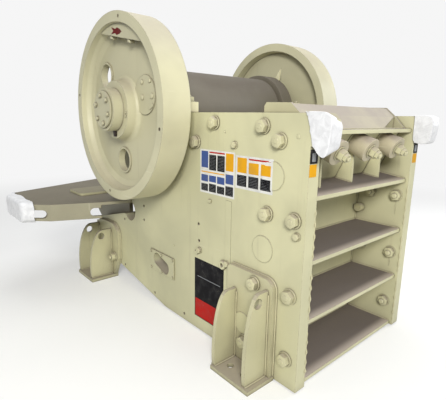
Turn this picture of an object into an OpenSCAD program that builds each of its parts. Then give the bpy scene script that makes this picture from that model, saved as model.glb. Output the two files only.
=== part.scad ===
// Single toggle jaw crusher, bolted plate frame, about 800 x 510 mm feed opening
// Millimetres. X runs along the shaft, the feed end faces -Y, Z is up.
// The origin lies on the ground under the middle of the shaft.

/* [Frame] */
// Width over the outer faces of the two side plates
body_w = 1036; // [1010:2:1060]
// Thickness of a side plate
plate_t = 70; // [64:1:78]
// From the shaft axis to the front edge of the side plates
front_reach = 1257; // [1245:1:1275]
// From the shaft axis to the rear edge of the side plates
rear_reach = 850; // [840:1:865]
// Height of the side plates' top edge
plate_top = 1295; // [1288:1:1305]
// Height of the side plates' bottom edge
plate_low = 8; // [5:1:12]
// Height of the tail's top edge at the rear end
tail_top = 437; // [428:1:446]
// Height of the tail's bottom edge at the rear end
tail_low = 175; // [168:1:182]
// Radius of the notch behind the motor base
notch_r = 75; // [70:1:80]
// How far a lifting ear stands out
ear_out = 87; // [80:1:95]
// Height of a lifting ear
ear_h = 135; // [128:1:142]
// Radius of the eye in a lifting ear
eye_r = 26; // [22:1:30]
// Radius of the small tapped holes
tap_r = 9; // [6:0.5:10]

/* [Front frame end] */
// Depth of the bays between the ribs
bay_depth = 295; // [285:1:305]
// Thickness of the wall behind the bays
wall_t = 50; // [45:1:60]
// Thickness of a rib
rib_t = 20; // [16:1:24]
// Set back of the ribs behind the plates' front edge
rib_inset = 19; // [14:1:24]
// Top of the first rib at its front edge
rib_z1 = 937; // [930:1:944]
// Rise of the first rib over its depth
rib_rise = 40; // [34:1:44]
// Top of the second rib
rib_z2 = 636; // [628:1:644]
// Top of the third rib
rib_z3 = 341; // [334:1:348]
// Distance of the upper flange's top below the plates' top edge
flange_drop = 70; // [65:1:75]
// Lean of the top bay's wall
wall_lean = 25; // [22:0.5:28]
// Thickness of a gusset in the top bay
gusset_t = 14; // [11:1:18]

/* [Spring cups] */
// Distance from cup to cup
cup_pitch = 283; // [275:1:290]
// Outer radius of a cup
cup_r = 62; // [56:1:66]
// Length of a cup
cup_len = 105; // [95:1:112]
// Radius of a cup's bolt
cup_bolt_r = 19; // [16:0.5:21]

/* [Rear frame end] */
// Y of the rear frame end's front wall
rear_y = 440; // [434:1:446]
// Thickness of its walls
rear_wall = 38; // [32:1:42]
// Width of one of its three pockets
pocket_w = 250; // [235:1:260]

/* [Feed lip] */
// Height of the feed lip over the flange
lip_h = 115; // [105:1:122]
// Depth of the feed lip from front to back
lip_depth = 267; // [255:1:275]

/* [Flywheels] */
// Outer radius of a flywheel
wheel_r = 543; // [538:1:550]
// Width of a flywheel's rim
wheel_b = 171; // [164:1:178]
// Radial thickness of the rim
rim_t = 58; // [52:1:62]
// Gap between a side plate and the flywheel
wheel_gap = 75; // [72:1:82]
// Thickness of the web
web_t = 34; // [30:1:40]
// Depth of the recess beside the rim
recess = 75; // [68:1:80]
// Radius of the flat part of the web
web_flat_r = 430; // [424:1:436]
// Radius of the hub's flange
hub_r = 168; // [164:1:174]
// How far the hub's flange lies behind the rim's face
hub_back = 4; // [0:1:10]
// Radius of the neck over the hub's flange
neck_r = 124; // [118:1:128]
// Length of the neck
neck_len = 76; // [70:1:82]
// Thickness of the end cap
cap_t = 12; // [10:1:16]
// Radius of the end cap
cap_r = 106; // [102:1:107]
// Radius of a lightening hole in the web
light_r = 70; // [64:1:76]
// Distance of the lightening holes from the shaft axis
light_at = 306; // [300:1:312]
// Radius of the holes in the rim's face
rim_hole_r = 9; // [7:0.5:10]
// Distance of the counterweight's chord from the shaft axis
weight_at = 405; // [398:1:412]
// Set back of the counterweight behind the rim's face
weight_inset = 20; // [14:1:26]

/* [Shaft and bearings] */
// Radius of the shaft in its bearings
shaft_r = 110; // [107:1:113]
// Radius of the shaft in the flywheels
seat_r = 96; // [92:1:99]
// Running gap round the shaft beside its bearings
run_gap = 6; // [5.5:0.5:8]
// Height of the shaft axis over the plates' top edge
shaft_up = 8; // [4:1:12]
// Outer radius of a bearing housing
housing_r = 290; // [286:1:294]
// How far a bearing housing stands out of its plate
housing_out = 42; // [38:1:46]
// Throw of the eccentric
throw = 14; // [10:1:16]
// Height of the small lug on a bearing housing
lug_h = 85; // [75:1:95]

/* [Pitman] */
// Outer radius of the pitman's barrel
barrel_r = 262; // [258:1:266]
// Gap between the barrel and a side plate
barrel_gap = 14; // [10:1:18]
// Width of the pitman's body between the cheek plates
pitman_w = 790; // [780:2:800]

/* [Jaws] */
// Height of the jaws' lower end
jaw_low = 195; // [188:1:202]
// Distance of the jaws' upper end below the plates' top edge
jaw_drop = 90; // [83:1:95]
// Thickness of a jaw die
die_t = 80; // [74:1:84]
// Width of a jaw die
die_w = 790; // [776:2:800]
// Depth of a jaw die's teeth
tooth_h = 22; // [18:1:26]
// Feed opening from jaw to jaw at the top
gape = 503; // [496:1:510]
// Opening at the bottom
setting = 80; // [74:1:88]
// Thickness of a cheek plate
cheek_t = 42; // [38:1:44]
// Width of the jaw wedge
wedge_w = 760; // [740:2:780]

/* [Toggle and rods] */
// Thickness of the toggle plate
toggle_t = 52; // [48:1:56]
// Width of the toggle plate
toggle_w = 740; // [720:2:750]
// Height of a toggle seat
seat_h = 142; // [130:1:150]
// Height of the tension rods
rod_z = 143; // [138:1:147]
// Distance between the two tension rods
rod_pitch = 460; // [450:2:470]
// Radius of a tension rod
rod_r = 20; // [18:0.5:22]
// Outer radius of a tension spring
spring_r = 58; // [54:1:62]
// Length of a tension spring
spring_len = 235; // [220:1:250]

/* [Feet] */
// Outer half width over the front feet
foot_reach = 700; // [692:1:708]
// Outer half width over the rear feet
foot_reach2 = 735; // [728:1:742]
// Thickness of a foot's flange
foot_flange = 30; // [26:1:34]
// Length of a front foot's flange
foot_l1 = 318; // [312:1:324]
// Length of a rear foot, from the rear face of the rear frame end
foot_l2 = 375; // [368:1:382]
// Distance from gusset to gusset on a front foot
foot_pitch1 = 219; // [214:1:224]
// Distance from gusset to gusset on a rear foot
foot_pitch2 = 218; // [213:1:223]
// Height of a front foot's flange
foot_h1 = 527; // [522:1:532]
// Height of a rear foot's flange
foot_h2 = 443; // [438:1:448]
// Thickness of a gusset on a foot
foot_rib = 22; // [18:1:26]
// Thickness of the base plates
foot_base = 22; // [20:1:26]
// Radius of the holes in the base plates
foot_hole_r = 18; // [16:0.5:20]
// Radius of a lashing hole in a gusset
lash_r = 26; // [22:1:29]

/* [Bolts] */
// Radius of a large washer
washer_r = 37; // [34:1:39]
// Corner radius of a large bolt's head
head_r = 32; // [29:0.5:33]
// Height of a large bolt's head
head_h = 26; // [22:1:30]
// Radius of a flush plug
plug_r = 65; // [60:1:68]
// How far a plug stands out of its face
plug_out = 2.5; // [2:0.5:4]
// Radius of the plug in a front foot's flange
foot_plug_r = 57; // [52:1:60]

/* [Side cover] */
// Length of the cover on a side plate
cover_l = 284; // [275:1:295]
// Height of the cover
cover_h = 142; // [136:1:150]
// Thickness of the cover
cover_t = 8; // [6:1:10]
// Radius of the window's ends
window_r = 44; // [40:1:48]
// Distance between the centres of the window's ends
window_l = 100; // [92:1:106]

/* [Motor base] */
// Height of the motor base's top face
base_top = 685; // [680:1:690]
// Thickness of its top plate
base_t = 20; // [17:1:23]
// Half length of the base along the shaft's direction
base_reach = 1190; // [1180:1:1200]
// Y of the base's front corner beside a side plate
base_front = 231; // [224:1:238]
// Y of the base's rear edge
base_rear = 1350; // [1342:1:1358]
// Height of the webs under its edges
base_web = 92; // [86:1:98]
// Length of a slot in the front web
slot_l = 120; // [110:1:130]
// Radius of a slot's ends
slot_r = 28; // [24:1:31]
// Distance of the pads behind the rear frame end's front wall
pad_back = 120; // [112:1:128]
// Height of the raised pads on the base
pad_h = 18; // [14:1:22]
// Length of a pad along the shaft's direction
pad_l = 350; // [330:2:370]
// Width of a pad
pad_w = 240; // [225:1:255]
// Thickness of a bracket under the base
bracket_t = 30; // [25:1:32]

/* [Cloth wraps] */
// Thickness of the cloth on the lifting ears
ear_wrap_t = 6; // [5:0.5:8]
// Thickness of the cloth bundles on the arm tips
wrap_t = 12; // [10:1:14]
// Length of arm that a wrap covers
wrap_l = 64; // [56:1:72]

/* [Hidden] */
$fn = 96;
eps = 0.3;
half_w = body_w / 2;
inner_w = half_w - plate_t;
front_y = -front_reach;
shaft_z = plate_top + shaft_up;
flange_z = plate_top - flange_drop;
jaw_high = plate_top - jaw_drop;
rib_y = front_y + rib_inset;
wall_y = rib_y + bay_depth;
fixed_y = wall_y + wall_t;
fixed_face = fixed_y + die_t;
jaw_bottom_y = fixed_face + setting;
jaw_top_y = fixed_face + gape;
jaw_lean = atan2(jaw_top_y - jaw_bottom_y, jaw_high - jaw_low);
jaw_len = (jaw_high - jaw_low) / cos(jaw_lean);
wheel_x = half_w + wheel_gap;
rim_x = wheel_x + wheel_b;
hub_x = rim_x - hub_back;
neck_x = hub_x + neck_len;
bore_r = shaft_r + throw + run_gap + 6;
base_under = base_top - base_t;
ear_low = plate_top - ear_h;
ear_y = front_y - ear_out;
rear_face = rear_reach - 10;
tail_y = 400;
flange_x = half_w + foot_flange;
cup_y = front_y + 107;
cup_z = flange_z - 61;
flat_z = flange_z - rib_t;
lip_back = wall_y + 13;
lip_front = lip_back - lip_depth;
toggle_a = [jaw_bottom_y + 308, jaw_low + 150];
toggle_b = [rear_y - 95, jaw_low + 252];
toggle_lean = atan2(toggle_b[1] - toggle_a[1], toggle_b[0] - toggle_a[0]);
toggle_len = norm(toggle_b - toggle_a);
notch_at = [305, base_under - notch_r];
arm_gap = 22;
foot_y = front_y + 139;
foot_g1 = foot_y + 25;
foot_g2 = foot_g1 + foot_pitch1;
foot2_y = rear_face - foot_l2;
foot2_g1 = foot2_y + 107;
foot2_g2 = foot2_g1 + foot_pitch2;

// Height of the tail's top edge at y
function tail_edge(y) = tail_top + (rear_reach - y) * 0.257;
// Height of the first rib's top at y
function shelf(y) = rib_z1 + (y - rib_y) * rib_rise / bay_depth;
// Point of the top bay's wall: out along a cup's axis and down the wall
function bay_point(out, down) = [cup_y - out * cos(wall_lean) + down * sin(wall_lean),
  cup_z - out * sin(wall_lean) - down * cos(wall_lean)];

// A profile drawn as [y, z] and made thick along X from x0 to x0 + t
module slab_x(x0, t) {
  translate([x0, 0, 0]) rotate([90, 0, 90]) linear_extrude(t) children();
}

// A profile drawn as [x, z] and made thick along Y from y0 to y0 + t
module slab_y(y0, t) {
  translate([0, y0 + t, 0]) rotate([90, 0, 0]) linear_extrude(t) children();
}

// A rod along X round the point y, z
module rod_x(x0, x1, y, z, r) {
  translate([x0, y, z]) rotate([0, 90, 0]) cylinder(h = x1 - x0, r = r);
}

// The right hand side is the left one mirrored
module other_side(right) {
  mirror([right ? 1 : 0, 0, 0]) children();
}

module hex_prism(r, h) {
  linear_extrude(h) polygon([for (i = [0:5]) [r * cos(60 * i), r * sin(60 * i)]]);
}

// Side plates
module plate_outline() {
  difference() {
    polygon([
      [front_y, plate_low], [front_y, ear_low],
      [ear_y + 35, ear_low], [ear_y, ear_low + 35],
      [ear_y, plate_top - 25], [ear_y + 25, plate_top],
      [430, plate_top], [430, plate_top - 120], [notch_at[0] + 25, base_top + 40],
      [notch_at[0] + 25, base_under], [notch_at[0], base_under],
      [notch_at[0], tail_edge(tail_y)], [tail_y, tail_edge(tail_y)],
      [rear_reach - 20, tail_edge(rear_reach - 20)], [rear_reach, tail_top - 5],
      [rear_reach, tail_low], [rear_reach - 350, tail_low - 48], [-150, plate_low]
    ]);
    translate(notch_at) circle(r = notch_r);
    translate([0, shaft_z]) circle(r = housing_r + eps);
    translate([ear_y + 48, plate_top - 62]) circle(r = eye_r);
  }
}

// Bolts through a side plate into the bays between the ribs, and through the feet, each as [y, z]
bay_bolt_spots = [[front_y + 221, rib_z2 + 197], [front_y + 60, rib_z2 + 197],
  [front_y + 61, rib_z3 + 136], [front_y + 67, plate_low + 146]];
foot_bolt_spots = [[foot_y + 118, foot_h1 - 45], [foot_y + 176, foot_base + 119],
  [foot2_y + 61, foot_base + 156]];

// Other places on a side plate, each as [behind the front edge, below the top edge]
bolt_spots = [[606, 52], [260, 60], [158, 121], [764, 160]];
small_spots = [[451, 157], [41, 530], [488, 792], [730, 781]];
plug_spots = [[243, 641], [194, 281], [332, 1059]];
tap_spots = [[64, 98], [1360, 634], [1362, 734], [1653, 789], [742, 626], [737, 725],
  [1670, 1158], [1238, 1235], [886, 1248]];
window_at = [front_y + 1139, plate_top - 987];

function spot(p) = [front_y + p[0], plate_top - p[1]];

module window_shape() {
  translate(window_at) rotate(20) {
    square([window_l, 2 * window_r], center = true);
    for (s = [-1, 1]) translate([s * window_l / 2, 0]) circle(r = window_r);
  }
}

module side_plate() {
  difference() {
    slab_x(-half_w, plate_t) difference() {
      plate_outline();
      window_shape();
    }
    for (p = tap_spots) rod_x(-half_w - 1, -half_w + 30, spot(p)[0], spot(p)[1], tap_r);
  }
}
module side_plate_left() { color("Khaki") side_plate(); }
module side_plate_right() { color("Khaki") other_side(true) side_plate(); }

// Front frame end: wall, ribs, upper flange and three gussets in one casting
module front_frame_end() {
  w = inner_w - eps;
  color("Khaki") {
    slab_x(-w, 2 * w) {
      polygon([[wall_y, plate_low + 4], [fixed_y, plate_low + 4], [fixed_y, flange_z],
        bay_point(0, (cup_z - flat_z) / cos(wall_lean)), bay_point(0, (cup_z - rib_z1) / cos(wall_lean)),
        [wall_y, rib_z1 - rib_t]]);
      polygon([[rib_y, rib_z1 - rib_t], [wall_y + 1, rib_z1 - rib_t], [wall_y + 1, shelf(wall_y)],
        [rib_y, rib_z1]]);
      for (z = [rib_z2, rib_z3, plate_low + 22])
        translate([rib_y, z - rib_t]) square([bay_depth + 1, rib_t]);
      translate([rib_y, flat_z]) square([bay_depth + 1, rib_t]);
    }
    for (i = [-1:1]) slab_x(i * cup_pitch - gusset_t / 2, gusset_t)
      polygon([bay_point(-12, cup_r + eps), bay_point(34, cup_r + eps),
        [bay_point(34, cup_r + eps)[0], shelf(bay_point(34, cup_r + eps)[0]) - 2],
        bay_point(-12, (cup_z - rib_z1) / cos(wall_lean) - 12)]);
  }
}

// Cups with the spring bolts that hold the fixed jaw's wedge
module at_cup(x, down = 0) {
  translate([x, bay_point(0, down)[0], bay_point(0, down)[1]]) rotate([90 + wall_lean, 0, 0]) children();
}
module spring_cups() {
  color("Khaki") difference() {
    for (i = [-1:1]) at_cup(i * cup_pitch) translate([0, 0, eps]) difference() {
      cylinder(h = cup_len, r = cup_r);
      translate([0, 0, -1]) cylinder(h = cup_len + 2, r = cup_bolt_r + eps);
    }
    translate([-inner_w, front_y - 50, flat_z - eps]) cube([2 * inner_w, 400, 200]);
  }
}
module wedge_bolts() {
  color("Khaki") for (i = [-1:1]) {
    at_cup(i * cup_pitch) {
      translate([0, 0, cup_len + 2 * eps]) hex_prism(2 * cup_bolt_r, 28);
      translate([0, 0, 20]) cylinder(h = cup_len + 40, r = cup_bolt_r);
    }
    for (s = [-1, 1]) at_cup(i * cup_pitch + s * 105, -8) translate([0, 0, eps]) {
      cylinder(h = 4, r = 15);
      hex_prism(12, 14);
    }
  }
}

// Rear frame end: a box casting open to the rear
module rear_frame_end() {
  w = inner_w - eps;
  color("Khaki") difference() {
    union() {
      slab_x(-w, 2 * w)
        polygon([[rear_y, tail_low + 40], [rear_face, tail_low + 10],
          [rear_face, tail_edge(rear_face) - 8], [rear_y, tail_edge(rear_y) - 8]]);
      for (s = [-1, 1]) translate([s * rod_pitch / 2 - 75, rear_face - 40, rod_z - 60])
        cube([150, 40, tail_low + 12 - rod_z + 60]);
    }
    for (s = [-1, 1]) translate([s * rod_pitch / 2, rear_face - 50, rod_z]) rotate([-90, 0, 0])
      cylinder(h = 60, r = rod_r + eps);
    for (i = [-1:1]) slab_x(i * (2 * w - pocket_w) / 2.24 - pocket_w / 2, pocket_w)
      polygon([[rear_y + rear_wall, tail_low + 37 + rear_wall * 0.8],
        [rear_face + 5, tail_low + 10 + rear_wall * 0.8],
        [rear_face + 5, tail_edge(rear_face + 5) - 8 - rear_wall],
        [rear_y + rear_wall, tail_edge(rear_y + rear_wall) - 8 - rear_wall]]);
  }
}

// Sloping lip over the front frame end between two end plates, cut back at both front corners
module lip_profile(out) {
  polygon([[lip_front - 2 * out, flange_z + eps], [lip_back, flange_z + eps],
    [lip_back + out, flange_z + lip_h * 0.3], [lip_back + out, flange_z + lip_h - 14],
    [lip_back - 10, flange_z + lip_h + out], [lip_back - 155, flange_z + lip_h - 3 + out],
    [lip_front + 59 - out, flange_z + lip_h - 51 + out]]);
}
module feed_lip() {
  w = inner_w - 1;
  color("Khaki") {
    difference() {
      slab_x(-w + 1, 2 * w - 2) lip_profile(0);
      for (s = [false, true]) other_side(s) slab_y(lip_front - 1, 61)
        polygon([[-w - 5, flange_z - 1], [-w + 245, flange_z - 1], [-w + 8, flange_z + lip_h - 49],
          [-w - 5, flange_z + lip_h - 49]]);
    }
    for (s = [false, true]) other_side(s) slab_x(-w, 12) lip_profile(4);
  }
}

// Corrugated dies
module die_outline(n) {
  p = (die_w - 10) / n;
  back = die_t - tooth_h;
  polygon(concat([[-die_w / 2, 0], [-die_w / 2, back]],
    [for (i = [0:n - 1]) for (k = [0:3])
      [-die_w / 2 + 5 + (i + [0.12, 0.38, 0.62, 0.88][k]) * p, k % 3 == 0 ? back : die_t]],
    [[die_w / 2, back], [die_w / 2, 0]]));
}
module fixed_jaw_die() {
  color("DarkKhaki") translate([0, fixed_y + eps, jaw_low])
    linear_extrude(jaw_high - jaw_low - 10) die_outline(11);
}
module moving_jaw_die() {
  color("DarkKhaki") translate([0, jaw_bottom_y, jaw_low]) rotate([-jaw_lean, 0, 0])
    translate([0, die_t, 0]) mirror([0, 1, 0]) linear_extrude(jaw_len) die_outline(11);
}

// Cheek plates lining the side plates between the jaws
module cheek_plates() {
  d = jaw_top_y - jaw_bottom_y;
  h = jaw_high - jaw_low;
  color("DarkKhaki") for (s = [false, true]) other_side(s)
    slab_x(-inner_w + eps, cheek_t) {
      polygon([[fixed_face + 5, jaw_low - 20], [jaw_bottom_y - 15, jaw_low - 20],
        [jaw_bottom_y - 10 + d * 0.46, jaw_low + h * 0.46], [fixed_face + 5, jaw_low + h * 0.46]]);
      polygon([[fixed_face + 5, jaw_low + h * 0.47], [jaw_bottom_y - 10 + d * 0.47, jaw_low + h * 0.47],
        [jaw_top_y - 22, jaw_high - 25], [fixed_face + 5, jaw_high - 25]]);
    }
}

// Wedge over the fixed die
module jaw_wedge() {
  color("DarkKhaki") slab_x(-wedge_w / 2, wedge_w)
    polygon([[fixed_y + eps, jaw_high - 10 + eps], [fixed_face - 8, jaw_high - 10 + eps],
      [fixed_face + 12, jaw_high + 82], [fixed_y + eps, jaw_high + 82]]);
}

// Pitman: barrel and body in one casting
module toggle_room(p, turn) {
  rod_x(-toggle_w / 2 - 1, toggle_w / 2 + 1, p[0], p[1], toggle_t / 2 + eps);
  slab_x(-toggle_w / 2 - 1, toggle_w + 2) translate(p) rotate(toggle_lean + turn)
    translate([0, -toggle_t / 2 - eps]) square([90, toggle_t + 2 * eps]);
}
module pitman() {
  w = 2 * (inner_w - barrel_gap);
  c = cos(jaw_lean);
  s = sin(jaw_lean);
  low_y = jaw_bottom_y + die_t * c + eps;
  low_z = jaw_low - die_t * s;
  color("Khaki") difference() {
    union() {
      rod_x(-w / 2, w / 2, 0, shaft_z, barrel_r);
      slab_x(-pitman_w / 2, pitman_w) polygon([[low_y - 10 * s, low_z - 10],
        [low_y + jaw_len * s * 0.99, low_z + jaw_len * c * 0.99], [-120, shaft_z + 12], [200, shaft_z - 98],
        [toggle_a[0] + 95, toggle_a[1] + 110], [toggle_a[0] + 20, toggle_a[1] + 60],
        [toggle_a[0] + 5, toggle_a[1] - 80], [toggle_a[0] + 5, rod_z - 48],
        [toggle_a[0] - 115, rod_z - 48], [toggle_a[0] - 135, rod_z + 12]]);
    }
    for (i = [-1, 1]) translate([i * rod_pitch / 2, toggle_a[0] - 95, rod_z]) rotate([-90, 0, 0])
      cylinder(h = 200, r = rod_r + eps);
    rod_x(-w, w, 0, shaft_z, bore_r);
    toggle_room(toggle_a, 0);
  }
}

// Toggle plate with rounded ends, and the seat block behind it
module toggle_plate() {
  color("Khaki") {
    for (p = [toggle_a, toggle_b]) rod_x(-toggle_w / 2, toggle_w / 2, p[0], p[1], toggle_t / 2);
    slab_x(-toggle_w / 2, toggle_w) translate(toggle_a) rotate(toggle_lean)
      translate([0, -toggle_t / 2]) square([toggle_len, toggle_t]);
  }
}
module toggle_seats() {
  color("DarkKhaki") difference() {
    slab_x(-toggle_w / 2, toggle_w)
      polygon([[toggle_b[0] - 8, toggle_b[1] - seat_h * 0.46], [rear_y - eps, toggle_b[1] - seat_h * 0.56],
        [rear_y - eps, toggle_b[1] + seat_h * 0.5], [toggle_b[0] - 4, toggle_b[1] + seat_h * 0.42]]);
    toggle_room(toggle_b, 180);
  }
}

// Rods that pull the pitman back on its toggle plate, each with a spring and an end plate
module at_rod(y) {
  for (i = [-1, 1]) translate([i * rod_pitch / 2, y, rod_z]) rotate([-90, 0, 0]) children();
}
module tension_rod() {
  color("DarkKhaki") {
    at_rod(toggle_a[0] - 95) cylinder(h = rear_face + spring_len + 95 - toggle_a[0] + 46, r = rod_r);
    at_rod(rear_face + spring_len) cylinder(h = 16, r = spring_r - 6);
    at_rod(rear_face + spring_len + 15) hex_prism(rod_r * 1.7, 20);
  }
}
module tension_spring() {
  color("DarkKhaki") at_rod(rear_face + eps) difference() {
    cylinder(h = spring_len - 2 * eps, r = spring_r);
    translate([0, 0, -1]) cylinder(h = spring_len + 2, r = rod_r + 4);
  }
}

// Bearing housings, seated in the side plates' saddles
module bearing_housing() {
  difference() {
    union() {
      rod_x(-half_w - housing_out, -inner_w, 0, shaft_z, housing_r);
      for (s = [-1, 1]) translate([-half_w, s < 0 ? -420 : 250, plate_top + eps])
        cube([plate_t, 170, 58]);
      slab_x(-half_w - housing_out, 14) translate([0, shaft_z]) rotate(25)
        polygon([[-24, housing_r - 6], [24, housing_r - 6], [0, housing_r + lug_h]]);
    }
    rod_x(-half_w - 60, 0, 0, shaft_z, shaft_r + eps);
    rod_x(-half_w - 60, -half_w - housing_out + 32, 0, shaft_z, shaft_r + run_gap);
    rod_x(-inner_w - 20, 0, 0, shaft_z, shaft_r + run_gap);
  }
}
module bearing_housing_left() { color("Khaki") bearing_housing(); }
module bearing_housing_right() { color("Khaki") other_side(true) bearing_housing(); }

// Feet
module round_off(p, r) {
  translate(p) difference() {
    translate([-1, -r]) square([r + 1, r + 1]);
    translate([r, -r]) circle(r = r);
  }
}
module foot_gusset(y, reach, top, hole) {
  g = (reach - flange_x) * 0.57;
  slab_y(y, foot_rib) difference() {
    polygon(concat([[-flange_x + 1, 1], [-flange_x + 1, top]],
      [for (a = [0:10:90]) [-reach + 8 + g * (1 - sin(a)), 100 + (top - 100) * cos(a)]],
      [[-reach + 9, 58], [-reach + 14, 1]]));
    if (hole) translate([-reach + 8 + g * 0.88, top - 46]) circle(r = lash_r);
  }
}
module foot_plate(y0, y1, reach) {
  m = (y0 + foot_rib + y1) / 2;
  difference() {
    translate([-reach, y0 - 30, 0]) cube([reach - half_w - eps, y1 + foot_rib - y0 + 30, foot_base]);
    for (d = [-50, 50]) translate([-(reach + flange_x) / 2, m + d, -1]) cylinder(h = 80, r = foot_hole_r);
  }
}
module front_foot() {
  difference() {
    union() {
      slab_x(-flange_x, foot_flange - eps) difference() {
        polygon([[foot_y, 0], [foot_y + foot_l1, 0], [foot_y + foot_l1, foot_h1 - 20],
          [foot_y + foot_l1 - 20, foot_h1], [foot_y, foot_h1]]);
        round_off([foot_y, foot_h1], 56);
      }
      foot_gusset(foot_g1, foot_reach, foot_h1 - 53, true);
      foot_gusset(foot_g2, foot_reach, foot_h1 - 115, false);
    }
    rod_x(-flange_x - plug_out - 1, -half_w + 1, spot(plug_spots[2])[0], spot(plug_spots[2])[1],
      foot_plug_r + 1.5);
  }
  foot_plate(foot_g1, foot_g2, foot_reach);
}
module rear_foot() {
  y1 = rear_face - 5;
  slab_x(-flange_x, foot_flange - eps) difference() {
    polygon([[foot2_y + 90, 0], [y1, 0], [y1, foot_h2 - 30], [y1 - 60, foot_h2 - 12], [y1 - 150, foot_h2],
      [foot2_y, foot_h2], [foot2_y, foot_h2 - 104], [foot2_y + 6, 172], [foot2_y + 35, 110]]);
    round_off([foot2_y, foot_h2], 104);
  }
  foot_gusset(foot2_g1, foot_reach2, foot_h2 - 48, true);
  foot_gusset(foot2_g2, foot_reach2, foot_h2 - 42, true);
  foot_plate(foot2_g1, foot2_g2, foot_reach2);
}
module front_foot_left() { color("Khaki") front_foot(); }
module front_foot_right() { color("Khaki") other_side(true) front_foot(); }
module rear_foot_left() { color("Khaki") rear_foot(); }
module rear_foot_right() { color("Khaki") other_side(true) rear_foot(); }

// Hexagon bolts with round washers on the side plates, and nuts on their inner faces
module bolt_head(x, p, r, hex, t, h) {
  translate([x - eps, p[0], p[1]]) rotate([0, -90, 0]) {
    cylinder(h = t, r = r);
    translate([0, 0, t - 1]) rotate(p[1]) hex_prism(hex, h);
  }
}
module plate_bolts() {
  for (p = bay_bolt_spots) bolt_head(-half_w, p, washer_r, head_r, 8, head_h);
  for (p = bolt_spots) bolt_head(-half_w, spot(p), washer_r, head_r, 8, head_h);
  for (p = foot_bolt_spots) bolt_head(-flange_x, p, washer_r, head_r, 8, head_h);
  for (p = small_spots) bolt_head(-half_w, spot(p), 20, 17, 4, 14);
  for (p = concat(bay_bolt_spots, [foot_bolt_spots[0]]))
    translate([-inner_w + eps, p[0], p[1]]) rotate([0, 90, 0]) {
      hex_prism(head_r, head_h - 2);
      cylinder(h = head_h + 12, r = head_r * 0.55);
    }
}
module plate_bolts_left() { color("Khaki") plate_bolts(); }
module plate_bolts_right() { color("Khaki") other_side(true) plate_bolts(); }

// Flush plugs over the frame's pins
module pin_plugs() {
  for (i = [0:1])
    rod_x(-half_w - plug_out, -half_w - eps, spot(plug_spots[i])[0], spot(plug_spots[i])[1], plug_r);
  rod_x(-flange_x - plug_out, -half_w - eps, spot(plug_spots[2])[0], spot(plug_spots[2])[1], foot_plug_r);
}
module pin_plugs_left() { color("Khaki") pin_plugs(); }
module pin_plugs_right() { color("Khaki") other_side(true) pin_plugs(); }

// Cover with a slanting window on each side plate
module side_cover() {
  slab_x(-half_w - cover_t - eps, cover_t) difference() {
    translate(window_at + [-7, 1]) square([cover_l, cover_h], center = true);
    window_shape();
  }
}
module side_cover_left() { color("Khaki") side_cover(); }
module side_cover_right() { color("Khaki") other_side(true) side_cover(); }

// Motor base: platform with two arms that reach forward beside the side plates
arm_front = [[-base_reach, base_front + 284], [-base_reach + 71, base_front + 239],
  [-base_reach + 145, base_front + 172], [-base_reach + 442, base_front + 50]];
arm_back = [[-base_reach, base_rear - 470], [-base_reach + 60, base_rear - 372],
  [-base_reach + 186, base_rear - 319], [-342, base_rear - 77], [-93, base_rear]];
module half_base() {
  x1 = half_w + arm_gap;
  polygon(concat([[0, notch_at[0] + 30], [-x1, notch_at[0] + 30], [-x1, base_front], [-x1 - 15, base_front]],
    [for (i = [3:-1:0]) arm_front[i]], arm_back, [[0, base_rear]]));
}
module edge_web(pts, dx, dy, h) {
  n = len(pts);
  translate([0, 0, base_under - h]) linear_extrude(h + 1)
    polygon(concat(pts, [for (i = [n - 1:-1:0]) pts[i] + [dx, dy]]));
}
module web_slot(x0, x1) {
  z = base_under - base_web / 2;
  slab_y(0, 600) {
    translate([x0 + slot_r, z - slot_r]) square([x1 - x0 - 2 * slot_r, 2 * slot_r]);
    for (x = [x0 + slot_r, x1 - slot_r]) translate([x, z]) circle(r = slot_r);
  }
}
module motor_base() {
  color("Khaki") difference() {
    union() {
      for (s = [false, true]) other_side(s) {
        translate([0, 0, base_under]) linear_extrude(base_t) half_base();
        edge_web(arm_front, 12, 16, base_web);
        edge_web([arm_back[2], arm_back[3]], 8, -16, base_web);
        edge_web([arm_back[0], arm_front[0]], 16, 0, base_web);
      }
      translate([-93, base_rear - 16, base_under - base_web]) cube([186, 16, base_web + 1]);
    }
    for (s = [false, true]) other_side(s) {
      web_slot(-base_reach + 10, -base_reach + 10 + slot_l);
      web_slot(-base_reach + 375, -base_reach + 375 + slot_l);
    }
  }
}
module motor_base_brackets() {
  b = base_rear - 151;
  color("Khaki") for (s = [false, true]) other_side(s)
    slab_x(-inner_w + 3, bracket_t) polygon([[rear_y + 12, tail_edge(rear_y + 12) - 8 + eps],
      [rear_face + eps, tail_edge(rear_face + eps) - 8 + eps], [rear_face + eps, (tail_low + tail_top) / 2],
      [b, base_under - base_web * 0.87], [b, base_under - eps], [rear_y + 12, base_under - eps]]);
}
module motor_pads() {
  r = pad_w / 8;
  x0 = arm_front[3][0] + 2;
  y0 = rear_y + pad_back;
  color("Khaki") for (s = [false, true]) other_side(s)
    translate([0, 0, base_top + eps]) linear_extrude(pad_h) {
      polygon([[x0, y0], [x0 + pad_l, y0], [x0 + pad_l, y0 + pad_w], [x0, y0 + pad_w],
        [x0 - r, y0 + pad_w - r], [x0 - r, y0 + r]]);
      for (y = [y0 + r, y0 + pad_w - r]) translate([x0, y]) circle(r = r);
    }
}

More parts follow.
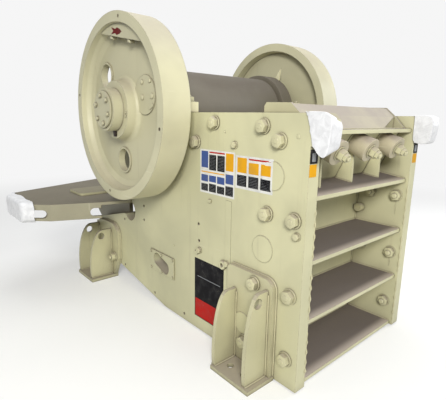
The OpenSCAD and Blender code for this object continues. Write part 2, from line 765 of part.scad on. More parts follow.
// Turning parts
module shaft() {
  color("Gray") {
    rod_x(-wheel_x - 12, wheel_x + 12, 0, shaft_z, shaft_r);
    rod_x(-neck_x + cap_t, neck_x - cap_t, 0, shaft_z, seat_r);
    rod_x(-330, 330, 0, shaft_z + throw, shaft_r + 2);
  }
}
module wheel() {
  web_x = rim_x - recess;
  in_r = wheel_r - rim_t;
  difference() {
    union() {
      translate([0, 0, shaft_z]) rotate([0, 90, 0]) rotate_extrude()
        polygon([[seat_r + eps, -neck_x + cap_t], [neck_r, -neck_x + cap_t], [neck_r, -hub_x],
          [hub_r, -hub_x], [hub_r + 12, -web_x], [web_flat_r, -web_x],
          [in_r - 22, -web_x - 14], [in_r - 6, -web_x - 42], [in_r, -rim_x],
          [wheel_r, -rim_x], [wheel_r, -wheel_x], [in_r, -wheel_x],
          [in_r - 8, -web_x + web_t], [hub_r + 10, -web_x + web_t], [hub_r, -wheel_x + 12 + eps],
          [shaft_r + 8, -wheel_x + 12 + eps], [shaft_r + 8, -wheel_x - 12 - eps],
          [seat_r + eps, -wheel_x - 12 - eps]]);
      intersection() {
        rod_x(-rim_x + weight_inset, -web_x + 5, 0, shaft_z, in_r + 2);
        translate([0, 0, shaft_z]) rotate([12, 0, 0]) translate([-rim_x - 10, -600, weight_at])
          cube([200, 1200, 300]);
      }
      rod_x(-web_x - 7, -web_x + 1, (light_at - 43) * cos(162), shaft_z + (light_at - 43) * sin(162),
        light_r + 38);
      for (t = [44, -86.6])
        rod_x(-web_x - 9, -web_x + 1, light_at * cos(t), shaft_z + light_at * sin(t), light_r + 11);
    }
    for (t = [44, -86.6])
      rod_x(-rim_x - 10, -wheel_x + 10, light_at * cos(t), shaft_z + light_at * sin(t), light_r);
    for (t = [11:90:281])
      rod_x(-rim_x - 10, -rim_x + 40, (in_r + rim_t / 2) * cos(t), shaft_z + (in_r + rim_t / 2) * sin(t),
        rim_hole_r);
  }
}
module flywheel_left() { color("Khaki") wheel(); }
module flywheel_right() { color("Khaki") other_side(true) wheel(); }
module hub_cap() {
  rod_x(-neck_x, -neck_x + cap_t - eps, 0, shaft_z, cap_r);
}
module hub_cap_left() { color("DarkKhaki") hub_cap(); }
module hub_cap_right() { color("DarkKhaki") other_side(true) hub_cap(); }

// Cloth bundles round the lifting ears and the arm tips
module ear_wraps() {
  t = ear_wrap_t;
  back = rib_y - 4;
  top = plate_top + t;
  color("White") for (s = [false, true]) other_side(s) difference() {
    union() {
      slab_x(-half_w - t, plate_t + 2 * t)
        polygon([[back, top], [ear_y + 20, top], [ear_y - t + 2, plate_top - 16],
          [ear_y - t, plate_top - 45], [ear_y - t + 8, ear_low + 6], [front_y - 38, ear_low - 22],
          [front_y - 16, ear_low - 43], [front_y - 3, ear_low - 2], [back, ear_low + 14]]);
      slab_x(-half_w - t, t) polygon([[back - 1, top], [back - 1, ear_low + 14],
        [front_y + 52, plate_top - 71], [front_y + 72, top]]);
    }
    slab_x(-half_w - eps, plate_t + 2 * eps) polygon([[front_y + 90, plate_top + eps],
      [ear_y + 25 - eps, plate_top + eps], [ear_y - eps, plate_top - 25 + eps],
      [ear_y - eps, ear_low + 35 - eps], [ear_y + 35 - eps, ear_low - eps],
      [front_y - eps, ear_low - eps], [front_y - eps, ear_low - 90], [front_y + 90, ear_low - 90]]);
  }
}
module tip_wraps() {
  a = arm_front[0];
  b = arm_back[0];
  c = arm_back[1];
  slope = (arm_front[1][1] - a[1]) / (arm_front[1][0] - a[0]);
  z0 = base_under - base_web;
  color("White") for (s = [false, true]) other_side(s) difference() {
    translate([0, 0, z0 - wrap_t]) linear_extrude(base_top - z0 + 2 * wrap_t)
      polygon([[a[0] - wrap_t, a[1] - 4], [a[0] - 4, a[1] - wrap_t],
        [a[0] + wrap_l, a[1] + slope * wrap_l - wrap_t - 4], [a[0] + wrap_l, c[1] + wrap_t + 6],
        [c[0] - 6, c[1] + wrap_t + 2], [b[0] - wrap_t, b[1] + 8]]);
    translate([0, 0, z0 - eps]) linear_extrude(base_top - z0 + 2 * eps)
      polygon([a + [-eps, -eps], [a[0] + wrap_l + 9, a[1] + slope * (wrap_l + 9) - 2 * eps],
        [a[0] + wrap_l + 9, c[1] + 20], c + [-eps, eps], b + [-eps, eps]]);
  }
}

side_plate_left();
side_plate_right();
front_frame_end();
rear_frame_end();
feed_lip();
fixed_jaw_die();
moving_jaw_die();
cheek_plates();
jaw_wedge();
spring_cups();
wedge_bolts();
pitman();
toggle_plate();
toggle_seats();
tension_rod();
tension_spring();
bearing_housing_left();
bearing_housing_right();
front_foot_left();
front_foot_right();
rear_foot_left();
rear_foot_right();
plate_bolts_left();
plate_bolts_right();
pin_plugs_left();
pin_plugs_right();
side_cover_left();
side_cover_right();
motor_base();
motor_base_brackets();
motor_pads();
shaft();
flywheel_left();
flywheel_right();
hub_cap_left();
hub_cap_right();
ear_wraps();
tip_wraps();
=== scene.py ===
"""Jaw crusher with a bolted plate frame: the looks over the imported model.

Metres. X runs along the shaft, the feed end faces -Y, Z is up, and the origin lies on the ground
under the middle of the shaft. The left side is -X, the side that the camera sees.
"""
import math

import bmesh
import bpy
import numpy as np
from mathutils import Matrix, Vector


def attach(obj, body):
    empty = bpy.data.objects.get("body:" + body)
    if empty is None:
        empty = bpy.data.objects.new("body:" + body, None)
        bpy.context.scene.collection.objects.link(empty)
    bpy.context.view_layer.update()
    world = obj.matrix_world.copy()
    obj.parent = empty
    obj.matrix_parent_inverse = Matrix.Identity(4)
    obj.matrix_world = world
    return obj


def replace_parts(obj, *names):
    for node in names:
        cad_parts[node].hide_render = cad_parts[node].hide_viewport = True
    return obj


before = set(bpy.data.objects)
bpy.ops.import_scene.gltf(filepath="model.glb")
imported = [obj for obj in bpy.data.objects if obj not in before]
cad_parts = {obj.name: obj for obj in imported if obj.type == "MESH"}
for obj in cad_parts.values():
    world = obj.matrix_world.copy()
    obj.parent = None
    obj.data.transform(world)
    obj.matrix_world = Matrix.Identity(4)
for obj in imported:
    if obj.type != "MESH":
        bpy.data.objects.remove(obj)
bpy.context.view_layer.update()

# Sizes of the machine, in metres
HALF = 0.518            # outer face of a side plate
INNER = 0.448           # its inner face
FRONT = -1.257          # front edge of the side plates
AXIS_Z = 1.303          # shaft axis
RIM_X = 0.764           # outer face of a flywheel's rim
HUB_X = 0.760           # face of its hub flange
CAP_X = 0.836           # outer face of the end cap
WEB_X = 0.689           # outer face of its web
FLANGE_X = 0.548        # outer face of the feet's flanges
RIB_Y = -1.238          # front edges of the ribs
WALL_Y = -0.943         # wall behind the bays
HOUSING_R = 0.290       # radius of a bearing housing
WORLD_WHITE = 0.92      # brightness of the background that the camera sees


# Shapes
def loft(rings, caps=True, loop=False):
    """Skin over a stack of closed outlines: each point is joined to the next one and to the next ring."""
    rings = np.asarray(rings, float)
    k, n = rings.shape[:2]
    j = np.arange(n)
    i = np.arange(k if loop else k - 1)[:, None]
    a, b = i * n, ((i + 1) % k) * n
    quads = np.stack([a + j, a + (j + 1) % n, b + (j + 1) % n, b + j], -1).reshape(-1, 4).tolist()
    if caps and not loop:
        quads += [list(range(n))[::-1], list(range((k - 1) * n, k * n))]
    return rings.reshape(-1, 3), quads


def join(*shapes):
    """One shape out of several: the vertices in a row, each face list moved on by what comes before it."""
    verts, faces, base = [], [], 0
    for v, f in shapes:
        verts.append(v)
        faces += [[base + i for i in face] for face in f]
        base += len(v)
    return np.concatenate(verts), faces


def placed(shape, origin, normal, turn=0.0):
    """A shape drawn round Z, stood on origin with Z along normal and turned by an angle about it."""
    n = Vector(normal).normalized()
    m = np.array(Vector((0, 0, 1)).rotation_difference(n).to_matrix() @ Matrix.Rotation(turn, 3, "Z"))
    return shape[0] @ m.T + np.asarray(origin, float), shape[1]


def mirrored(shape):
    """The same shape on the other side of X = 0, with its faces turned back outwards."""
    return shape[0] * [-1, 1, 1], [f[::-1] for f in shape[1]]


def circle(r, n=32):
    """n points at radius r, evenly spread round the angle."""
    t = np.arange(n) * 2 * math.pi / n
    return np.stack([r * np.cos(t), r * np.sin(t)], -1)


def turned(profile, n=48, loop=False):
    """Revolves a profile of (radius, height) pairs about Z: each pair gives a circle at its height."""
    rings = [np.column_stack([circle(max(r, 1e-5), n), np.full(n, h)]) for r, h in profile]
    return loft(rings, caps=not loop, loop=loop)


def inset(outline, d):
    """Moves each corner of a closed outline inwards by d along the mean of its two edges' normals."""
    p = np.asarray(outline, float)
    e = np.roll(p, -1, 0) - p
    n = np.stack([-e[:, 1], e[:, 0]], -1) / np.maximum(np.linalg.norm(e, axis=1), 1e-9)[:, None]
    m = n + np.roll(n, 1, 0)
    m /= np.maximum((m * n).sum(1), 0.2)[:, None]
    return p + d * m


def slab(outline, t, edge):
    """A plate of thickness t over an outline, with both rims bevelled by edge."""
    small, full = inset(outline, edge), np.asarray(outline, float)
    levels = ((small, 0), (full, edge), (full, t - edge), (small, t))
    return loft([np.column_stack([p, np.full(len(p), h)]) for p, h in levels])


def round_rect(w, h, r, n=6):
    """Outline of a rectangle about the origin whose corners are quarter circles of radius r."""
    t = np.linspace(0, math.pi / 2, n)
    x, y = w / 2 - r, h / 2 - r
    corners = []
    for quarter, middle in enumerate([(x, y), (-x, y), (-x, -y), (x, -y)]):
        a = t + quarter * math.pi / 2
        corners.append(np.stack([np.cos(a), np.sin(a)], -1) * r + middle)
    return np.concatenate(corners)


def hex_head(r, h, n=48):
    """Hexagonal prism whose top corners are cut by a cone: the radius at an angle is the apothem over
    its cosine, and each corner's rim sinks by how far it stands outside the cone's top circle."""
    t = np.arange(n) * 2 * math.pi / n
    unit = np.stack([np.cos(t), np.sin(t)], -1)
    apothem = r * math.cos(math.pi / 6)
    rim = apothem / np.cos((t + math.pi / 6) % (math.pi / 3) - math.pi / 6)
    top = np.full(n, apothem * 0.93)
    levels = ((rim, 0.0), (rim, h - (rim - top) * 0.58), (top, h), (top * 0.5, h))
    return loft([np.column_stack([unit * radius[:, None], np.broadcast_to(z, n)]) for radius, z in levels])


def thread(r, h, n=24, pitch=0.0035):
    """Threaded stud: the radius falls and rises once a pitch, with a chamfered end."""
    root, tip = r * 0.93, h - r * 0.25
    steps = np.arange(0, tip, pitch / 2)
    ridge = np.where(np.arange(len(steps)) % 2 == 0, r, root)
    return turned(list(zip(ridge, steps)) + [(root, tip), (r * 0.72, h)], n)


def bolt(r, h, washer_r=0.0, washer_t=0.0, stud=0.0, n=48):
    """Washer, chamfered head and the end of the stud, stacked along Z."""
    parts = []
    if washer_t:
        c = min(0.0015, washer_t / 3)
        edge = [(washer_r - c, 0), (washer_r, c), (washer_r, washer_t - c), (washer_r - c, washer_t)]
        parts.append(turned(edge, n))
    head = hex_head(r, h, n)
    head[0][:, 2] += washer_t * 0.98
    parts.append(head)
    if stud:
        end = thread(r * 0.5, stud)
        end[0][:, 2] += washer_t + h * 0.9
        parts.append(end)
    return join(*parts)


def resampled(points, step):
    """Points at even spacing along a polyline, and how far along it each lies."""
    p = np.asarray(points, float)
    s = np.concatenate([[0], np.cumsum(np.linalg.norm(np.diff(p, axis=0), axis=1))])
    u = np.linspace(0, s[-1], max(3, int(round(s[-1] / step)) + 1))
    return np.stack([np.interp(u, s, column) for column in p.T], -1), u


def spread(points, at):
    """Points at whole and broken row numbers of a list of points, by straight steps between its rows."""
    return np.stack([np.interp(at, np.arange(len(points)), column) for column in points.T], -1)


def tube(points, r, n=10, step=0.006, ripple=0.0, wave=0.009, seed=0):
    """A round section carried along a path with a frame that doesn't twist. The radius swells by ripple
    once a wave, each swell by its own amount, and closes at both ends."""
    p, s = resampled(points, step)
    d = np.gradient(p, axis=0)
    d /= np.linalg.norm(d, axis=1)[:, None]
    u = np.cross(d[0], [0.31, 0.17, 0.93])
    side = np.zeros_like(d)
    for i, ahead in enumerate(d):
        u = u - ahead * (u @ ahead)
        u = u / np.linalg.norm(u)
        side[i] = u
    up = np.cross(d, side)
    swell = np.random.default_rng(seed).normal(0, 0.35, len(p))
    radius = r * (1 + ripple * (np.cos(s * 2 * math.pi / wave) + swell))
    radius[[0, -1]] *= 0.35
    turn = circle(1.0, n)
    ring = side[:, None] * turn[:, :1] + up[:, None] * turn[:, 1:]
    return loft(p[:, None] + ring * radius[:, None, None])


def open_grid(grid, wrap=False):
    """Faces between the rows and columns of a grid, closed round the columns where wrap is set."""
    k, n = grid.shape[:2]
    i, j = np.meshgrid(np.arange(k - 1) * n, np.arange(n if wrap else n - 1), indexing="ij")
    beside = (j + 1) % n
    corners = np.stack([i + j, i + beside, i + n + beside, i + n + j], -1)
    return grid.reshape(-1, 3), corners.reshape(-1, 4).tolist()


def add_object(name, data):
    """An object for a mesh, lamp or camera, linked into the scene."""
    ob = bpy.data.objects.new(name, data)
    bpy.context.scene.collection.objects.link(ob)
    return ob


def piece(name, shape, material, body="frame", smooth=35.0):
    """Puts a shape into a mesh object at the origin, turns its faces outwards and lets it ride on a body."""
    me = bpy.data.meshes.new(name)
    me.from_pydata(shape[0].tolist(), [], shape[1])
    bm = bmesh.new()
    bm.from_mesh(me)
    bmesh.ops.recalc_face_normals(bm, faces=bm.faces)
    bm.to_mesh(me)
    bm.free()
    if smooth:
        me.shade_smooth()
        me.set_sharp_from_angle(angle=math.radians(smooth))
    me.materials.append(material)
    ob = add_object(name, me)
    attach(ob, body)
    return ob


# Node helpers
def srgb(r, g, b):
    """Linear colour of an 8 bit screen colour."""
    c = np.array([r, g, b]) / 255.0
    c = np.where(c <= 0.04045, c / 12.92, ((c + 0.055) / 1.055) ** 2.4)
    return (*c.tolist(), 1.0)


def shade(colour, by, lift=0.0):
    """A colour made darker or paler by a factor, and lifted by a little grey."""
    return (*(min(1.0, c * by + lift) for c in colour[:3]), 1.0)


def feed(tree, socket, value):
    """Links a socket into another one, or sets that one to a plain value."""
    if isinstance(value, bpy.types.NodeSocket):
        tree.links.new(value, socket)
    else:
        socket.default_value = value


def node(tree, kind, inputs=None, **props):
    """A node of a kind. Inputs are values, or sockets that are linked in."""
    nd = tree.nodes.new("ShaderNode" + kind)
    for key, value in props.items():
        setattr(nd, key, value)
    for key, value in (inputs or {}).items():
        feed(tree, nd.inputs[key], value)
    return nd


def maths(tree, op, a, b=0.0, clamp=False):
    """A sum on one or two values or sockets. The four below are its most used kinds."""
    return node(tree, "Math", {0: a, 1: b}, operation=op, use_clamp=clamp).outputs[0]


def plus(tree, a, b, clamp=False):
    return maths(tree, "ADD", a, b, clamp)


def minus(tree, a, b, clamp=False):
    return maths(tree, "SUBTRACT", a, b, clamp)


def times(tree, a, b, clamp=False):
    return maths(tree, "MULTIPLY", a, b, clamp)


def most(tree, a, b):
    return maths(tree, "MAXIMUM", a, b)


def ramp(tree, value, low, high, out_low=0.0, out_high=1.0):
    """Smooth step of a value from low to high."""
    inputs = {"Value": value, "From Min": low, "From Max": high, "To Min": out_low, "To Max": out_high}
    return node(tree, "MapRange", inputs, interpolation_type="SMOOTHSTEP").outputs[0]


def mix(tree, factor, a, b):
    """Colour a, turned into b by a factor."""
    return node(tree, "Mix", {0: factor, 6: a, 7: b}, data_type="RGBA").outputs[2]


def noise(tree, where, scale, detail=3.0, rough=0.55, distortion=0.0):
    """Cloudy values round one half, scale of them to a metre."""
    inputs = {"Vector": where, "Scale": scale, "Detail": detail, "Roughness": rough, "Distortion": distortion}
    return node(tree, "TexNoise", inputs).outputs[0]


def object_place(tree):
    """Where a point lies, in the object's own coordinates."""
    return node(tree, "TexCoord").outputs["Object"]


def closeness(tree, reach, samples):
    """How open a point is to its surroundings within reach: 1 in the open, less in a corner."""
    return node(tree, "AmbientOcclusion", {"Distance": reach}, samples=samples).outputs["AO"]


def group(name, inputs, outputs, draw):
    """A node group: numbers go in, each with its default, and masks, values or a normal come out. Its inside
    is drawn by draw(tree, inputs), which gives the socket of each output."""
    tree = bpy.data.node_groups.new(name, "ShaderNodeTree")
    for label, default in inputs.items():
        socket = tree.interface.new_socket(label, in_out="INPUT", socket_type="NodeSocketFloat")
        socket.default_value = default
    for label in outputs:
        kind = "NodeSocketVector" if label == "Normal" else "NodeSocketFloat"
        tree.interface.new_socket(label, in_out="OUTPUT", socket_type=kind)
    ins = tree.nodes.new("NodeGroupInput").outputs
    outs = tree.nodes.new("NodeGroupOutput").inputs
    for label, socket in draw(tree, ins).items():
        tree.links.new(socket, outs[label])
    return tree


def use(tree, grp, **values):
    """Places a group in a material, with a value for each input."""
    nd = tree.nodes.new("ShaderNodeGroup")
    nd.node_tree = grp
    for key, value in values.items():
        feed(tree, nd.inputs[key], value)
    return nd.outputs


# Shared effects
def draw_edges(tree, ins):
    """Mask of worn outer edges: where the rounded normal leaves the true one, broken up by noise."""
    where = object_place(tree)
    soft = node(tree, "Bevel", {"Radius": ins["Radius"]}, samples=4).outputs[0]
    true = node(tree, "NewGeometry").outputs["Normal"]
    dot = node(tree, "VectorMath", {0: soft, 1: true}, operation="DOT_PRODUCT").outputs["Value"]
    bent = minus(tree, 1.0, dot)
    grain = noise(tree, where, 55.0, 4.0, 0.65)
    patch = noise(tree, where, 6.0, 2.0)
    level = plus(tree, times(tree, bent, 2.2), times(tree, grain, 0.55))
    level = plus(tree, level, times(tree, patch, 0.45))
    cut = minus(tree, 1.32, ins["Amount"])
    worn = ramp(tree, minus(tree, level, cut), 0.0, 0.12)
    worn = times(tree, worn, ramp(tree, bent, 0.02, 0.10))
    return {"Worn": worn, "Rim": ramp(tree, bent, 0.01, 0.22), "Normal": soft}


EDGES = group("edge wear", {"Radius": 0.004, "Amount": 0.3}, ("Worn", "Rim", "Normal"), draw_edges)


def draw_weather(tree, ins):
    """Dust lies on faces that look up, streaks run down steep ones, corners turn grimy and darker with
    painted shade, and the narrow seams get a painted contact shadow."""
    coord = node(tree, "TexCoord")
    where, normal = coord.outputs["Object"], coord.outputs["Normal"]
    up = node(tree, "SeparateXYZ", {0: normal}).outputs[2]
    cloud = noise(tree, where, 3.2, 5.0, 0.6)
    speck = noise(tree, where, 70.0, 3.0, 0.7)
    lying = ramp(tree, plus(tree, up, times(tree, minus(tree, cloud, 0.5), 0.5)), 0.25, 0.86)
    dust = times(tree, lying, plus(tree, 0.78, times(tree, cloud, 0.36)), clamp=True)
    dust = times(tree, dust, plus(tree, 0.86, times(tree, speck, 0.24)), clamp=True)
    run = node(tree, "Mapping", {"Vector": where, "Scale": (34.0, 34.0, 1.7)}).outputs[0]
    line = noise(tree, run, 1.0, 4.0, 0.6)
    steep = ramp(tree, maths(tree, "ABSOLUTE", up), 0.75, 0.2)
    streak = times(tree, ramp(tree, line, 0.56, 0.74), ramp(tree, cloud, 0.42, 0.62))
    streak = times(tree, streak, steep)
    # Grime in corners, darker where the surroundings close in: grime and painted shade together.
    corner = ramp(tree, closeness(tree, 0.11, 6), 0.86, 0.25)
    grime = times(tree, corner, plus(tree, 0.45, cloud), clamp=True)
    tone = noise(tree, where, 1.35, 4.0, 0.55, 0.4)
    # Seam: a painted contact shadow where parts nearly touch.
    seam = ramp(tree, closeness(tree, 0.014, 6), 0.84, 0.46)
    seam = times(tree, seam, ramp(tree, cloud, 0.30, 0.62, 0.5, 1.0))
    return {"Dust": times(tree, dust, ins["Dust"]), "Streaks": times(tree, streak, ins["Streaks"]),
            "Grime": times(tree, grime, ins["Grime"]), "Seam": seam, "Tone": tone, "Speck": speck}


WEATHER = group("weather", {"Dust": 1.0, "Streaks": 0.5, "Grime": 0.6},
                ("Dust", "Streaks", "Grime", "Seam", "Tone", "Speck"), draw_weather)


def draw_grain(tree, ins):
    """Height of a cast or rolled skin: fine grain, soft waves and a few pits."""
    where = object_place(tree)
    fine = noise(tree, where, ins["Scale"], 3.0, 0.6)
    wave = noise(tree, where, times(tree, ins["Scale"], 0.09), 2.0)
    pit = node(tree, "TexVoronoi", {"Vector": where, "Scale": times(tree, ins["Scale"], 0.42)}).outputs[0]
    height = plus(tree, times(tree, fine, 0.5), times(tree, wave, 1.6))
    height = plus(tree, height, times(tree, ramp(tree, pit, 0.0, 0.16), 0.35))
    return {"Height": height, "Fine": fine}


GRAIN = group("skin grain", {"Scale": 160.0}, ("Height", "Fine"), draw_grain)


def draw_scratches(tree, ins):
    """Thin scuffs in two directions: narrow bands of stretched noise, kept to a few patches."""
    where = object_place(tree)
    keep = ramp(tree, noise(tree, where, 2.6, 2.0), 0.56, 0.66)
    lines = []
    for turn, stretch in (((0.5, 0.2, 0.1), (3.0, 3.0, 90.0)), ((-0.3, 0.7, 0.2), (70.0, 4.0, 4.0))):
        v = node(tree, "Mapping", {"Vector": where, "Rotation": turn, "Scale": stretch}).outputs[0]
        lines.append(ramp(tree, noise(tree, v, 1.0, 2.0), 0.70, 0.73))
    return {"Scuffs": times(tree, times(tree, most(tree, *lines), keep), ins["Amount"])}


SCRATCHES = group("scratches", {"Amount": 0.5}, ("Scuffs",), draw_scratches)


# Materials
def blank(name):
    """A material with a Principled shader and nothing linked to it yet."""
    m = bpy.data.materials.new(name)
    m.use_nodes = True
    tree = m.node_tree
    return m, tree, tree.nodes["Principled BSDF"]


def finish_skin(tree, shader, colour, rough, height, strength, distance, normal=None):
    """Links colour, roughness and a bump, which lies over rounded edges where a normal is given."""
    inputs = {"Strength": strength, "Distance": distance, "Height": height}
    if normal is not None:
        inputs["Normal"] = normal
    bump = node(tree, "Bump", inputs).outputs[0]
    for name, socket in (("Base Color", colour), ("Roughness", rough), ("Normal", bump)):
        tree.links.new(socket, shader.inputs[name])


DUST = srgb(163, 153, 138)
# Dark dust of the pitman and housings: soot and painted shade.
SOOT_AND_SHADE = srgb(96, 89, 78)
# Dust and paint deep in the bays and inside the frame: painted shade.
SHADED_BAY_DUST = srgb(112, 103, 98)
BAY_SHADE = srgb(112, 103, 92)
# Painted shade low down inside the frame.
LOW_SHADE = srgb(70, 64, 57)
STREAK = srgb(158, 148, 120)
# Colour of grimy corners: grime and painted shade.
GRIME_AND_SHADE = srgb(112, 103, 86)
# Colour of the painted contact shadow in seams.
SEAM_SHADOW = srgb(92, 84, 66)
SCUFF = srgb(226, 222, 196)
PRIMER = srgb(128, 118, 98)
RUST = srgb(116, 74, 48)
# Oily grime in the corners of steel, with painted shade there.
OILY_GRIME_AND_SHADE = srgb(52, 46, 40)


def off_axis(tree, y, z):
    """Distance of a point from the shaft's axis: the root of its squared Y and its squared height over it."""
    rise = minus(tree, z, AXIS_Z)
    return maths(tree, "SQRT", plus(tree, times(tree, y, y), times(tree, rise, rise)))


def paint(name, colour, dust=1.0, streaks=0.25, grime=0.5, worn=0.2, radius=0.004, grain=150.0, bump=0.25,
          dust_colour=DUST, shade_depth=None, shade_share=0.0, low=None, inner=0.0, ring=None, seam=1.0):
    """Machine paint: a slow change of tone, dust on top, grimy corners with painted shade, a painted contact
    shadow in seams, a painted highlight along edges, scuffs and a little wear at edges.

    shade_depth: two places along Y between which dust turns into painted shade deep in the bays and, by the
    share dirt, paint does too.
    low: two heights between which paint turns into painted shade, darker towards the bottom.
    inner: how far the inner faces of the side plates darken with painted shade towards the wall of the bays.
    ring: two radii round the shaft's axis between which paint turns into painted shade or a painted
    highlight, its share and colour.
    seam: strength of the painted contact shadow where parts touch.
    """
    m, tree, shader = blank(name)
    w = use(tree, WEATHER, Dust=dust, Streaks=streaks, Grime=grime)
    e = use(tree, EDGES, Radius=radius, Amount=worn)
    g = use(tree, GRAIN, Scale=grain)
    s = use(tree, SCRATCHES, Amount=0.5)
    pale = shade(colour, 1.07)
    c = mix(tree, ramp(tree, w["Tone"], 0.32, 0.68), shade(colour, 0.86), pale)
    # Painted highlight: paler along rounded edges.
    c = mix(tree, times(tree, e["Rim"], 0.22), c, pale)
    c = mix(tree, w["Streaks"], c, STREAK)
    x, y, z = node(tree, "SeparateXYZ", {0: object_place(tree)}).outputs
    # Painted shade, darker further into the bays.
    if shade_depth:
        in_shade = ramp(tree, y, *shade_depth)
        dust_colour = mix(tree, in_shade, dust_colour, SHADED_BAY_DUST)
        c = mix(tree, times(tree, in_shade, shade_share), c, BAY_SHADE)
    # Painted shade: darker towards the bottom.
    if low:
        c = mix(tree, ramp(tree, z, *low, 0.0, 0.8), c, LOW_SHADE)
    # Painted shade on the side plates' inner faces, darker towards the wall of the bays.
    if inner:
        inside = ramp(tree, maths(tree, "ABSOLUTE", x), INNER + 0.0015, INNER + 0.0005, 0.0, inner)
        c = mix(tree, times(tree, inside, ramp(tree, y, FRONT, WALL_Y, 0.45, 1.0)), c, BAY_SHADE)
    # Painted shade or a painted highlight in a ring round the shaft.
    if ring:
        start, end, share, other = ring
        c = mix(tree, ramp(tree, off_axis(tree, y, z), start, end, 0.0, share), c, other)
    # Grime and painted shade in corners.
    c = mix(tree, w["Grime"], c, GRIME_AND_SHADE)
    # Painted contact shadow in seams.
    c = mix(tree, times(tree, w["Seam"], seam), c, SEAM_SHADOW)
    c = mix(tree, s["Scuffs"], c, SCUFF)
    c = mix(tree, times(tree, w["Dust"], 0.92), c, dust_colour)
    c = mix(tree, e["Worn"], c, PRIMER)
    rough = plus(tree, 0.40, times(tree, w["Tone"], 0.12))
    rough = plus(tree, rough, times(tree, most(tree, w["Dust"], w["Grime"]), 0.36), clamp=True)
    height = plus(tree, g["Height"], times(tree, w["Dust"], times(tree, w["Speck"], 0.9)))
    height = minus(tree, height, times(tree, e["Worn"], 0.8))
    finish_skin(tree, shader, c, rough, height, bump, 0.002, e["Normal"])
    return m


def steel(name, colour, rust=0.35, rough=0.45, dust=0.7, grain=120.0, bump=0.5, metal=0.75):
    """Bare or blackened steel with patches of rust, dust on top, oily grime and painted shade in corners, and
    brighter edges.
    """
    m, tree, shader = blank(name)
    w = use(tree, WEATHER, Dust=dust, Streaks=0.3, Grime=0.7)
    e = use(tree, EDGES, Radius=0.003, Amount=0.42)
    g = use(tree, GRAIN, Scale=grain)
    patch = plus(tree, w["Tone"], times(tree, g["Fine"], 0.25))
    rusty = times(tree, ramp(tree, patch, 0.55, 0.78), rust)
    c = mix(tree, w["Speck"], colour, shade(colour, 0.8))
    c = mix(tree, e["Worn"], c, shade(colour, 1.6))
    c = mix(tree, rusty, c, RUST)
    # Oily grime with painted shade in corners.
    c = mix(tree, w["Grime"], c, OILY_GRIME_AND_SHADE)
    c = mix(tree, w["Dust"], c, DUST)
    cover = most(tree, rusty, most(tree, w["Dust"], w["Grime"]))
    bare = minus(tree, 1.0, cover, clamp=True)
    tree.links.new(times(tree, bare, metal), shader.inputs["Metallic"])
    rough = plus(tree, rough, times(tree, cover, 0.4), clamp=True)
    finish_skin(tree, shader, c, rough, g["Height"], bump, 0.002, e["Normal"])
    return m


def cloth_wrap(name):
    """White wrapping film over cloth: pale, greyer with painted shade in the folds, soft sheen and fine
    crinkles.
    """
    m, tree, shader = blank(name)
    where = object_place(tree)
    crease = noise(tree, where, 26.0, 5.0, 0.62, 0.6)
    fine = noise(tree, where, 160.0, 3.0, 0.6)
    bubble = node(tree, "TexVoronoi", {"Vector": where, "Scale": 95.0}).outputs[0]
    # Painted shade in the folds.
    fold_shade = ramp(tree, closeness(tree, 0.03, 4), 0.8, 0.3)
    c = mix(tree, ramp(tree, crease, 0.35, 0.65), srgb(222, 223, 226), srgb(238, 239, 242))
    c = mix(tree, fold_shade, c, srgb(182, 180, 176))
    height = plus(tree, times(tree, crease, 2.4), times(tree, fine, 0.35))
    height = minus(tree, height, times(tree, ramp(tree, bubble, 0.15, 0.5), 0.5))
    finish_skin(tree, shader, c, plus(tree, 0.42, times(tree, crease, 0.25)), height, 0.22, 0.003)
    shader.inputs["Sheen Weight"].default_value = 0.25
    shader.inputs["Coat Weight"].default_value = 0.15
    return m


def print_film(name, colour):
    """Printed sticker film: flat ink with faint mottling, dust freckles and a slightly lifted skin."""
    m, tree, shader = blank(name)
    where = object_place(tree)
    cloud = noise(tree, where, 18.0, 4.0, 0.6)
    fine = noise(tree, where, 240.0, 2.0)
    c = mix(tree, ramp(tree, cloud, 0.35, 0.7), colour, shade(colour, 0.82, 0.02))
    c = mix(tree, ramp(tree, times(tree, cloud, fine), 0.36, 0.46, 0.0, 0.35), c, DUST)
    finish_skin(tree, shader, c, plus(tree, 0.45, times(tree, cloud, 0.2)), cloud, 0.12, 0.0006)
    shader.inputs["Specular IOR Level"].default_value = 0.08
    return m


CREAM = srgb(211, 208, 170)
WHEEL_CREAM = srgb(207, 203, 170)
# Round the shaft, painted shade on a flywheel's web and a painted highlight on a housing's lug: where each
# starts, where it is full, its share and its colour
WEB_SHADE_RING = (0.475, 0.455, 0.15, srgb(134, 127, 100))
LUG_HIGHLIGHT_RING = (HOUSING_R + 0.001, HOUSING_R + 0.004, 1.0, srgb(236, 231, 193))
CAST = dict(grain=95.0, bump=0.45, radius=0.006)
# Dark, sooty casts, darkened further by painted shade.
SOOTY_SHADED = dict(CAST, grime=0.6, dust_colour=SOOT_AND_SHADE)
# Flywheel paint, with painted shade on the web inside the rim.
WHEEL = dict(ring=WEB_SHADE_RING, dust=0.6, grime=0.45, streaks=0.15, grain=110.0, bump=0.3)

# Side plates: inner faces darkened by painted shade.
FRAME_PAINT = paint("frame paint", CREAM, inner=0.15)
# Front frame end: dust turns into painted shade deep in the bays.
BAY_PAINT = paint("ribbed front paint", CREAM, dust=1.25, grime=0.15, dust_colour=srgb(190, 178, 168),
                  shade_depth=(RIB_Y, -1.175))
COVER_PAINT = paint("cover paint", CREAM, worn=0.05, seam=0.3)
CUP_PAINT = paint("cup paint", srgb(190, 181, 154), dust=1.1, grime=0.6, radius=0.0015,
                  dust_colour=srgb(166, 155, 140))
LIP_PAINT = paint("lip paint", srgb(204, 200, 164), dust=1.3, streaks=0.1, dust_colour=srgb(172, 163, 152))
